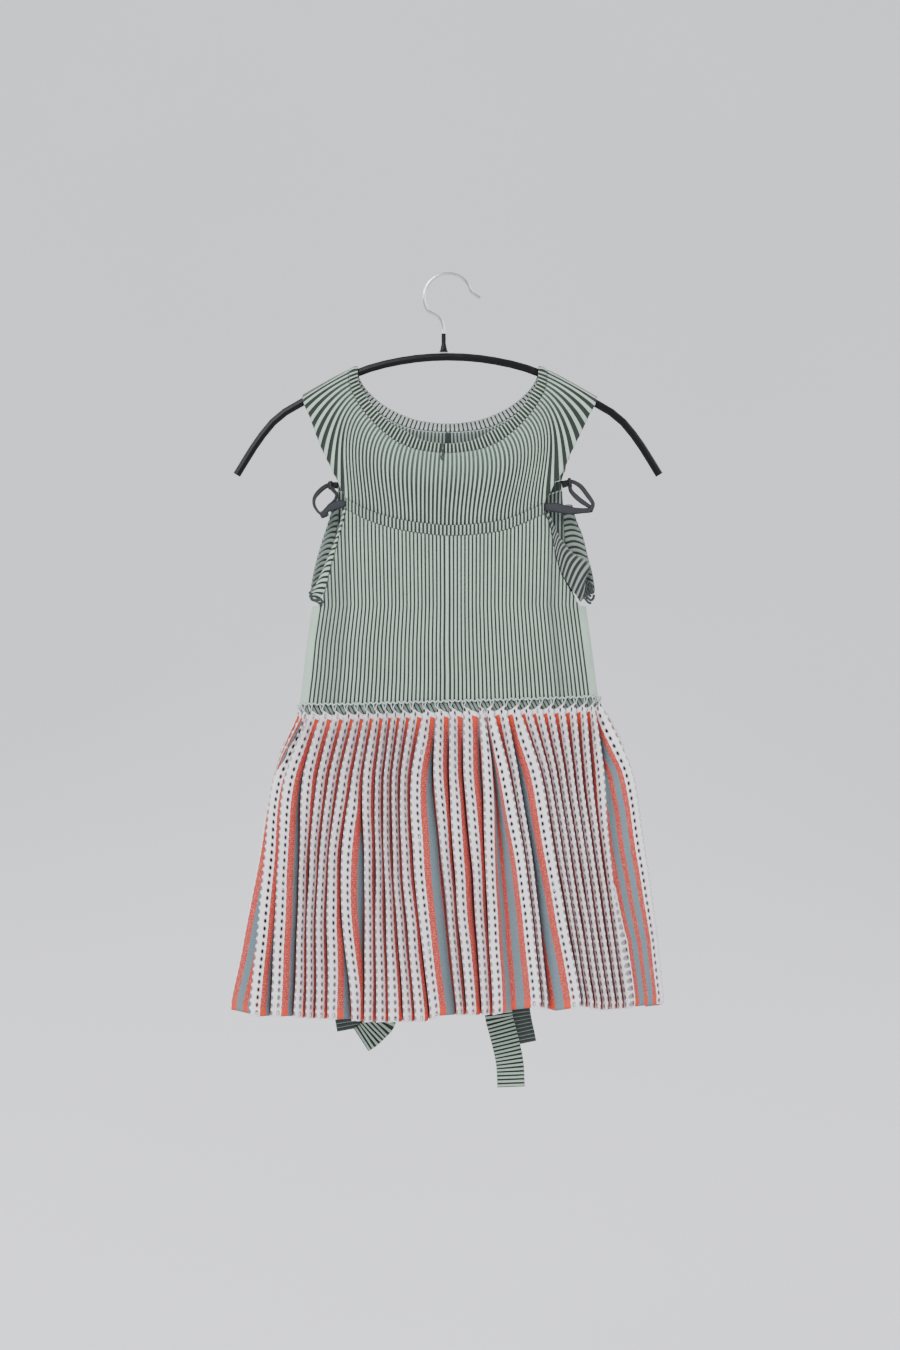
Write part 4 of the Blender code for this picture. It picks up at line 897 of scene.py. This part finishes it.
# Lower panels
def make_panel(half):
    under_band = smooth_line(half.band_top, np.linspace(0, 1, 40)) - (0, BAND_HEIGHT)
    top_edge = (*half.panel_left[::-1], *under_band, *half.panel_right)
    ribs, lifts = rib_columns(WAIST_RIBS)
    wider = ribs + WIDE_RIB * np.clip(ribs - MIDDLE_RIB, 0, 1)
    middle = PLAIN_SHARE + (1 - 2 * PLAIN_SHARE) * wider / (WAIST_RIBS + WIDE_RIB)
    plain = np.linspace(0, PLAIN_SHARE, PLAIN_COLUMNS, endpoint=False)
    places = np.concatenate([plain, middle, 1 - plain[::-1]])
    lifts = np.pad(lifts, PLAIN_COLUMNS, constant_values=PLAIN_LIFT)
    ribs = np.pad(ribs, PLAIN_COLUMNS, constant_values=(0.5, WAIST_RIBS - 0.5))
    shares = np.linspace(0, 1, 30)
    columns, along = [], []
    for place, lift in zip(places, lifts):
        share = (2 * place - 1) * 0.999
        top = SHOULDER_Z
        for _ in range(6):  # closes in on where the column meets the top edge
            x = ring_point(share, bodice_ring(top), 0, half.side)[0]
            top = curve(top_edge, x)
        bottom = curve(WAIST_LINE, ring_point(share, bodice_ring(WAIST_LINE[0][1]), 0, half.side)[0])
        column = []
        for t in shares:
            z = top + (bottom - top) * t
            free = math.sin(math.pi * t)
            sway = PANEL_SWAY * wobble(place * 200, z, half.side + 4, 60) * free
            billow = PANEL_BILLOW * wobble(place * 260, z, half.side * 3, 90) * free
            swayed = share * (1 + sway * (1 - abs(share)))
            column.append((*ring_point(swayed, bodice_ring(z), -lift - billow, half.side), z))
        columns.append(column)
        along.append((top - bottom) * shares)
    piece = shell(f"bodice_{half.name}_knit", np.swapaxes(columns, 0, 1),
                  {"rib": ribs, "along": np.transpose(along)}, (rib_outside, rib_inside), PANEL_CLOTH,
                  outward=half.side)
    stand_for(piece, "mint_knit", f"bodice_{half.name}")


# Skirt
def front_ridges(z):
    """x of the front's folds at a height, on smooth lines from the waist to the hem."""
    heights = np.array(PLEAT_HEIGHTS[::-1], float)
    table = np.array(FRONT_PLEATS, float)[:, ::-1]
    slopes = np.diff(table, axis=1) / np.diff(heights)
    ends = np.column_stack([slopes[:, 0], (slopes[:, :-1] + slopes[:, 1:]) / 2, slopes[:, -1]])
    row = int(np.clip(np.searchsorted(heights, z) - 1, 0, len(heights) - 2))
    tall = heights[row + 1] - heights[row]
    spots = hermite(np.clip((z - heights[row]) / tall, 0, 1), table[:, row], tall * ends[:, row],
                    table[:, row + 1], tall * ends[:, row + 1])
    shift = RIDGE_SHIFT * np.clip((TOP_Z - z) / HIP_DROP, 0, 1)
    spots[1:FRONT.leaning_left] -= shift
    spots[FRONT.leaning_left:] += shift
    return spots


def ridges_at(z, half):
    """Ring shares of a half's folds at a height. The back's are even, with a little sway."""
    ring = skirt_ring(z)
    if half is FRONT:
        return [ring_share(x, ring) for x in front_ridges(z)]
    number = np.arange(BACK_PLEATS)
    sway = (np.sin(2.1 * number) + np.sin(0.7 * number + 1)) * (TOP_Z - z) / (TOP_Z - HEM_Z)
    return (2 * number + 1) / BACK_PLEATS - 1 + BACK_PLEAT_SWAY * sway / ring.half


def ridge_cloth(half, pleats):
    """Where along the cloth each pleat folds."""
    number = np.arange(pleats)
    places = PLEAT_CLOTH * number + np.where(number < half.leaning_left, -EYELET_OFF, EYELET_OFF)
    places[0] = FIRST_RIDGE_CLOTH
    return places


def flank(gap, run, vary, z):
    """The visible side of a pleat: (across, deep, cloth) at the white band's edge and at its end."""
    turned = min(WHITE_FLATTEST, curve(WHITE_SHARES, z) * gap / WHITE_FLANK) * (1 + 0.1 * vary)
    spread = math.radians(curve(FLANK_SPREAD, gap))
    knee = min(WHITE_FLANK * turned, run)
    rest = run - knee
    first = (knee, knee * math.tan(math.acos(turned)), knee / turned)
    return first, (run, first[1] + rest * math.tan(spread), first[2] + rest / math.cos(spread))


def pleat_line(z, half):
    """Plan points of the pleated cloth at a height, and (cloth place, point number) marks.

    A ridge is a fold along a row of eyelets. From it the white band and the stripes slope back on
    one side, and then the cloth drops into a slot under the next ridge.
    """
    ring, most = skirt_ring(z), columns_at(SKIRT_RINGS, z)[-1]
    ridges = ridges_at(z, half)
    folds = ridge_cloth(half, len(ridges))
    reach = ring.flat + ring.depth - min(most, SEAM_DEPTH_SHARE * ring.depth)
    seam_y = half.side * SKIRT_SEAM_Y
    line, marks = [(ring.middle - reach, seam_y)], [(-PLEAT_CLOTH / 2, 0)]
    room = min((TOP_Z - z) / HIP_DROP, 1)
    recess = [RIDGE_RECESS * room * max(wobble(number * 7.7 + half.seed, 3, z, 110) + 0.25, 0)
              for number in range(len(ridges))]

    def add(arc, deep, cloth=None):
        if cloth is not None:
            marks.append((cloth, len(line)))
        line.append(ring_point(arc / ring.half, ring, deep, half.side))

    add(ridges[0] * ring.half, recess[0], folds[0])
    for number in range(len(ridges) - 1):
        start, end = ridges[number] * ring.half, ridges[number + 1] * ring.half
        fold, next_fold = folds[number:number + 2]
        gap, spare = end - start, next_fold - fold
        vary = wobble(number * 17.3 + half.seed, 0, z, 70)
        limit = most
        if abs(start + end) / 2 > ring.flat:
            limit = min(most, ring.depth * (1 - min(TROUGH_ROOM / gap, TROUGH_MOST)))
        left, right = number < half.leaning_left, number + 1 >= half.leaning_left
        if left and right:
            across, deep, cloth = flank(gap, 0.4 * gap, vary, z)[0]
            drop = math.sqrt(max((spare / 2 - cloth) ** 2 - (gap / 2 - across) ** 2, 0))
            deep = min(deep, limit - 0.5)
            add(start + across, deep, fold + cloth)
            add(start + VALLEY_PLACE * gap, min(deep + drop, limit), fold + spare / 2)
            add(end - across, deep, next_fold - cloth)
        else:
            wide = min(SLOT, SLOT_SHARE * gap)
            knee, lip = flank(gap, gap - wide, vary, z)
            base, way, ridge, low = (start, 1, fold, number) if left else (end, -1, next_fold, number + 1)
            lip_deep = min(recess[low] + lip[1], limit - 0.5)
            knee_deep = min(recess[low] + knee[1], lip_deep)
            deepest = min(max((spare - lip[2] + lip_deep) / 2, lip_deep + 0.5), limit)
            steps = ((knee[0], knee_deep, ridge + way * knee[2]), (lip[0], lip_deep, ridge + way * lip[2]),
                     (gap - 0.75 * wide, deepest, None), (gap - 0.25 * wide, deepest, None))
            for across, deep, cloth in steps[::way]:
                add(base + way * across, deep, cloth)
        add(end, recess[number + 1], next_fold)
    marks.append((PLEAT_CLOTH * (len(ridges) - 0.5), len(line)))
    line.append((ring.middle + reach, seam_y))
    return np.array(line), marks


def cloth_columns(pleats):
    """The cloth place, distance from the white band's middle and relief of each column."""
    columns = []
    for pleat in range(pleats):
        for distance, relief in STRIPES[:0:-1]:
            if not (columns and distance == STRIPES[-1][0]):
                columns.append((pleat * PLEAT_CLOTH - distance, distance, relief))
        for distance, relief in STRIPES:
            columns.append((pleat * PLEAT_CLOTH + distance, distance, relief))
    return np.array(columns).T


def soften(line):
    """A plan line resampled and rounded, and the length along it of each fine and old point."""
    lengths = travelled(line)
    at = np.linspace(0, lengths[-1], int(lengths[-1] / PLAN_STEP))
    fine = read_line(at, lengths, line)
    reach = int(FOLD_ROUNDING / PLAN_STEP / 2)
    padded = np.pad(fine, ((reach, reach), (0, 0)), mode="edge")
    kernel = np.hanning(2 * reach + 3)[1:-1]
    kernel /= kernel.sum()
    return np.column_stack([np.convolve(column, kernel, mode="valid") for column in padded.T]), at, lengths


def skirt_grid(half):
    """Points of the whole half skirt, hem row first, the cloth values and each column's distance."""
    pleats = len(ridges_at(HEM_Z, half))
    cloth, distances, reliefs = cloth_columns(pleats)
    falls = np.linspace(0, 1, 2 * EYELET_ROWS + 1)
    plan = np.zeros((len(falls), len(cloth), 2))
    for row, fall in enumerate(falls):
        line, marks = pleat_line(LOWEST_Z + (TOP_Z - LOWEST_Z) * fall, half)
        fine, at, lengths = soften(line)
        places, numbers = zip(*marks)
        where = np.interp(cloth, places, lengths[list(numbers)])
        ahead = read_line(where + 0.5, at, fine) - read_line(where - 0.5, at, fine)
        ahead /= np.maximum(np.linalg.norm(ahead, axis=1), 1e-9)[:, None]
        out = np.column_stack([ahead[:, 1], -ahead[:, 0]]) * -half.side
        beat = EYELET_BEAT[row % 2] * np.exp(-((distances - EYELET_OFF) / EYELET_BEAT_WIDTH) ** 2)
        plan[row] = read_line(where, at, fine) + out * (reliefs + beat)[:, None]
    from_ridge = np.abs(np.subtract.outer(cloth, ridge_cloth(half, pleats))).min(axis=1)
    hem = curve(HEM_LINE, plan[0, :, 0]) - (BACK_HEM_DROP if half is BACK else 0)
    top = curve(WAIST_LINE, plan[-1, :, 0]) - curve(WAIST_DROPS, from_ridge)
    points = np.dstack([plan, hem + (top - hem) * falls[:, None]])
    pleat = np.round(cloth / PLEAT_CLOTH)
    for (row, number), z in np.ndenumerate(points[:, :, 2]):
        loose = math.sin(math.pi * min(falls[row] + 0.15, 1))
        points[row, number, 0] += PLEAT_SWAY * loose * wobble(pleat[number] * 37.0 + half.seed, 0, z, 50)
    values = {"cloth_u": cloth, "cloth_v": falls[:, None] * (top - hem),
              "cloth_t": (1 - falls)[:, None] * (top - hem), "fold": from_ridge,
              "course": np.arange(len(falls))[:, None]}
    return points, {key: np.broadcast_to(grid, plan.shape[:2]) for key, grid in values.items()}, distances


def make_skirt(half):
    """The half skirt in two pieces, which meet in the middle of a stripe."""
    points, values, distances = skirt_grid(half)
    rows, columns = points.shape[:2]
    split = columns // 2 // PLEAT_COLUMNS * PLEAT_COLUMNS
    for part, low, high in (("left", 0, split + 1), ("right", split, columns)):
        holes = [(row, column - low) for column in range(low + 1, high - 1)
                 if distances[column] == EYELET_OFF for row in range(1, rows - 1, 2)]
        piece = shell(f"skirt_{half.name}_cloth_{part}", points[:, low:high],
                      {key: grid[:, low:high] for key, grid in values.items()}, (pleat_cloth,),
                      SKIRT_CLOTH, holes=holes, outward=-half.side)
        stand_for(piece, "pleat_knit", f"skirt_{half.name}")


# Waist
def make_waist_strip():
    """The grey ribbed strip behind the pleat tips, with slanting ribs."""
    places, lifts = rib_columns(STRIP_RIBS)
    falls = np.linspace(0, 1, 6)
    points = []
    for fall in falls:
        row = []
        for place, lift in zip(places[:-1], lifts[:-1]):
            around = (place + STRIP_SLANT * fall) / STRIP_RIBS % 1
            side, share = (-1, 4 * around - 1) if around < 0.5 else (1, 3 - 4 * around)
            x, y = ring_point(share, bodice_ring(STRIP_Z), WALL + STRIP_SET_IN - 0.5 * lift, side)
            row.append((x, y, curve(WAIST_LINE, x) + STRIP_ABOVE - STRIP_TALL * fall))
        points.append(row)
    values = {"rib": places[:-1], "along": STRIP_TALL * falls[:, None]}
    stand_for(shell("waist_strip_knit", points, values, (strip_outside,), STRIP_CLOTH, wraps=True),
              "charcoal_knit", "waist_strip")


def make_bind_off():
    """The pale wavy row of bound-off stitches at the waist, front and back."""
    for half in HALVES:
        route = []
        for share in np.linspace(-0.995, 0.995, 520):
            x, y = ring_point(share, bodice_ring(BIND_OFF_Z), -BIND_OFF_OUT[0], half.side)
            phase = x * 2 * math.pi / BIND_OFF_PITCH
            route.append((x, y + half.side * BIND_OFF_OUT[1] * math.cos(phase),
                          curve(WAIST_LINE, x) + BIND_OFF_UP[0] + BIND_OFF_UP[1] * math.sin(phase)))
        stand_for(tube(f"bind_off_{half.name}", [route], BIND_OFF_RADIUS, bind_off_yarn), "mint_knit")


def make_links():
    """A small loop of pale yarn from the bind-off down to each pleat tip."""
    ring = bodice_ring(TOP_Z)
    for half in HALVES:
        routes = []
        for share in ridges_at(TOP_Z, half):
            ridge_x = ring_point(share, skirt_ring(TOP_Z), 0, half.side)[0]
            route = []
            for across, height in LINK_ROUTE:
                x = ridge_x + across
                y = ring_point(ring_share(x, ring), ring, -LINK_OUT, half.side)[1]
                route.append((x, y, curve(WAIST_LINE, x) + height))
            routes.append(smooth_line(route, np.linspace(0, 1, 14)))
        stand_for(tube(f"links_{half.name}", routes, LINK_RADIUS, bind_off_yarn, 5), "mint_knit")


def make_marks():
    """A short end of dark yarn at the front neck, dark strokes down the back neck's middle, and the dark
    ends of the armhole bands.
    """
    for name, side, inward, radius, lines in YARN_ENDS:
        routes = [[shoulder_point(x, z, inward, side) for x, z in line] for line in lines]
        routes = [smooth_line(route, np.linspace(0, 1, 4 * len(route))) for route in routes]
        stand_for(tube(name, routes, radius, dark_yarn), "charcoal_knit")
    for name, radius, lines in BAND_ENDS:
        routes = [smooth_line(line, np.linspace(0, 1, 5 * len(line))) for line in lines]
        stand_for(tube(name, routes, radius, dark_yarn), "charcoal_knit")


# Armhole bands
def band_edges(band):
    """Points of a band's sewn and free edges, down the front, under the arm and up the back."""
    def placed(side, rows):
        for x, z, free_x, free_z, turned_in in rows:
            depth = bodice_ring(z).depth
            yield (x, side * (depth - ARM_BAND_SET_IN), z), (free_x, side * (depth - turned_in), free_z)

    x, z, free_x, free_z, _ = band.front_rows[-1]
    sewn_out, sewn_down, free_out, free_down = ARM_BAND_TURN
    under_arm = ((x + band.sign * sewn_out, 0, z - sewn_down),
                 (free_x + band.sign * free_out, 0, free_z - free_down))
    return zip(*placed(-1, band.front_rows), under_arm, *placed(1, band.back_rows[::-1]))


def make_arm_band(band, finish):
    """A band that stands out from the armhole, with slanting ribs across it."""
    sewn, free = band_edges(band)
    places, lifts = rib_columns(ARM_BAND_RIBS)
    shares = places / ARM_BAND_RIBS
    sewn_line, free_line = smooth_line(sewn, shares), smooth_line(free, curve(band.rib_ends, shares))
    bowed = np.where(shares < 0.5, *band.bows) * np.sin(2 * math.pi * shares) ** 2
    across = np.linspace(0, 1, 8)
    bulge = np.sin(math.pi * across)
    columns, along = [], []
    for number, (start, end) in enumerate(zip(sewn_line, free_line)):
        ahead = heading(sewn_line, number)
        out = unit(np.cross(ahead, end - start)) * band.sign
        columns.append(start + np.outer(across, end - start)
                       + np.outer(ARM_BAND_BULGE * bulge + ARM_BAND_LIFT * lifts[number], out)
                       + np.outer(bulge, ahead * bowed[number] + (0, 0, ARM_BAND_ARCH)))
        along.append(across * np.linalg.norm(end - start))
    piece = shell(f"{band.name}_armhole_knit", np.swapaxes(columns, 0, 1),
                  {"rib": places, "along": np.transpose(along)}, (finish, band_inside), PANEL_CLOTH,
                  outward=band.sign)
    stand_for(piece, "mint_knit", f"armhole_band_{band.name}")


# Ribbons, sliders and ties
def facing(ahead):
    """Directions across a strip and out of its front face."""
    over = unit((ahead[2], 0, -ahead[0]))
    normal = unit(np.cross(ahead, over))
    return over, -normal if normal[1] > 0 else normal


def make_ribbon(name, count, widths, route, finish, *nodes):
    even = np.linspace(0, 1, count)
    spots = smooth_line(route, even)
    wide = np.interp(even, np.linspace(0, 1, len(widths)), widths)
    across = np.linspace(-1, 1, 6)
    lifts = RIBBON_WALL / 2 + RIBBON_SAG * (1 - across ** 2)
    points = []
    for number, spot in enumerate(spots):
        over, normal = facing(heading(spots, number))
        points.append(spot + np.outer(across * wide[number] / 2, over) + np.outer(lifts, normal))
    values = {"rib": across * RIBBON_WIDTH / 2, "along": travelled(spots)[:, None]}
    stand_for(shell(name, points, values, (finish,), RIBBON_CLOTH), "grey_ribbon", *nodes)


def make_slider(node, centre, turn, wide, tall):
    """A glossy frame with rounded corners, and a bar across it that the ribbon folds over."""
    lean = math.radians(turn)

    def placed(x, y, z):
        return (centre[0] + x * math.cos(lean) - z * math.sin(lean), centre[1] + y,
                centre[2] + x * math.sin(lean) + z * math.cos(lean))

    grid = []
    for angle in np.linspace(0, 2 * math.pi, 33):
        across, up = math.cos(angle), math.sin(angle)
        square = (abs(across) ** 5 + abs(up) ** 5) ** 0.2
        row = []
        for turned in np.linspace(0, 2 * math.pi, 9):
            inset = SLIDER_RIM / 2 * (1 - math.cos(turned))
            row.append(placed(across / square * (wide / 2 - inset), SLIDER_DEPTH / 2 * math.sin(turned),
                              up / square * (tall / 2 - inset)))
        grid.append(row)
    stand_for(shell(f"{node}_frame", grid, {}, (slider_gloss,), 0), "grey_ribbon", node)
    bar = [placed(0, 0, up * (tall / 2 - SLIDER_RIM)) for up in (-1, -0.5, 0, 0.5, 1)]
    stand_for(tube(f"{node}_bar", [bar], SLIDER_BAR, slider_gloss, 8), "grey_ribbon")
    wrap = [placed(share * wide / 2, -SLIDER_DEPTH / 2 * rise, 0) for share, rise in SLIDER_WRAP]
    make_ribbon(f"{node}_wrap", 12, (tall - SLIDER_RIM,), wrap, satin_ribbon)


def make_straps():
    for name, count, widths, route in RIBBONS:
        # The loop strands and back ends take the darker ribbon, painted shade
        finish = satin_ribbon if name.endswith("front") else painted_shade_ribbon
        make_ribbon(name, count, widths, route, finish, "strap_" + name.replace("ribbon_", ""))
    for slider in SLIDERS:
        make_slider(*slider)


def tie_depth(x, z):
    if z > TIE_SEAM_Z:
        ring, clear = bodice_ring(z), RIB_RAISE + SEAM_GAP + TIE_WALL / 2
    else:
        ring, clear = skirt_ring(max(z, HEM_Z)), SKIRT_CLEAR
    away = min(abs(x - ring.middle) / ring.flat, 1)
    return ring.depth + ring.crown * (1 - away ** 2) + clear


def make_tie(name, node, layer, turn, route):
    """A tie with its ribs across it."""
    spots = []
    for x, z in smooth_line(route, np.linspace(0, 1, 40)):
        lift = layer * np.interp(z, (LAYER_FULL_Z, TIE_SEAM_Z), (1, 0))
        spots.append((x, tie_depth(x, z) + lift, z))
    length = dense_line(tuple(spots))[1][-1]
    ribs = int(length / TIE_RIB)
    places, lifts = rib_columns(ribs)
    centre = smooth_line(spots, places / ribs)
    across = np.linspace(-1, 1, 12)
    columns = []
    for number, spot in enumerate(centre):
        over, normal = facing(heading(centre, number, 3))
        raised = TIE_WALL / 2 - 0.3 + 0.6 * lifts[number] - TIE_CURL * across ** 2
        columns.append(spot + np.outer(across * TIE_WIDTH / 2, over) + np.outer(raised, normal))
    piece = shell(name, np.swapaxes(columns, 0, 1),
                  {"rib": places, "along": (across * TIE_WIDTH / 2)[:, None]},
                  (rib_outside, rib_inside)[::turn], TIE_CLOTH, outward=-1)
    stand_for(piece, "mint_knit", node)


# Stage, lights and camera
def make_stage():
    profile = [(SWEEP_FRONT, FLOOR_Z), (WALL_Y - SWEEP_RADIUS, FLOOR_Z)]
    for angle in np.radians(np.linspace(0, 90, 24)[1:]):
        profile.append((WALL_Y - SWEEP_RADIUS * (1 - math.sin(angle)),
                        FLOOR_Z + SWEEP_RADIUS * (1 - math.cos(angle))))
    profile.append((WALL_Y, SWEEP_TOP))
    grid = [[(x, y, z) for x in np.linspace(-SWEEP_HALF, SWEEP_HALF, 6)] for y, z in profile]
    shell("studio_sweep", grid, {}, (stage_paint,), 0)


def make_lights():
    for name, place, size, power in LIGHTS:
        data = bpy.data.lights.new(name, "AREA")
        data.shape = "SQUARE"
        data.size = size
        data.energy = power
        light = bpy.data.objects.new(name, data)
        light.location = place
        light.rotation_euler = (Vector(LIGHT_TARGET) - Vector(place)).to_track_quat("-Z", "Y").to_euler()
        bpy.context.scene.collection.objects.link(light)
    world = bpy.data.worlds.new("studio")
    world.use_nodes = True
    background = world.node_tree.nodes["Background"]
    background.inputs["Color"].default_value = WORLD_COLOUR
    background.inputs["Strength"].default_value = WORLD_POWER
    bpy.context.scene.world = world


def make_camera():
    data = bpy.data.cameras.new("camera")
    data.sensor_width = 36
    data.lens = data.sensor_width * CAMERA_DISTANCE / VIEW_HEIGHT
    camera = bpy.data.objects.new("camera", data)
    camera.location = (VIEW_MIDDLE[0] * MM, -CAMERA_DISTANCE * MM, VIEW_MIDDLE[1] * MM)
    camera.rotation_euler = (math.pi / 2, 0, 0)
    bpy.context.scene.collection.objects.link(camera)
    bpy.context.scene.camera = camera


def paint_hanger():
    for node, make in (("hanger_bow", black_coating), ("hanger_sleeve", black_coating),
                       ("hanger_hook", chrome_wire)):
        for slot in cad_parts[node].material_slots:
            slot.material = surface(make)


def main():
    make_camera()
    make_stage()
    make_lights()
    paint_hanger()
    for half in HALVES:
        make_yoke(half)
    make_neckband()
    for half in HALVES:
        make_yoke_band(half)
    for half in HALVES:
        make_panel(half)
    make_arm_band(LEFT_ARM_BAND, rib_outside)
    make_arm_band(RIGHT_ARM_BAND, band_outside)
    make_marks()
    make_straps()
    make_waist_strip()
    make_bind_off()
    make_links()
    for half in HALVES:
        make_skirt(half)
    for tie in TIES:
        make_tie(*tie)


main()
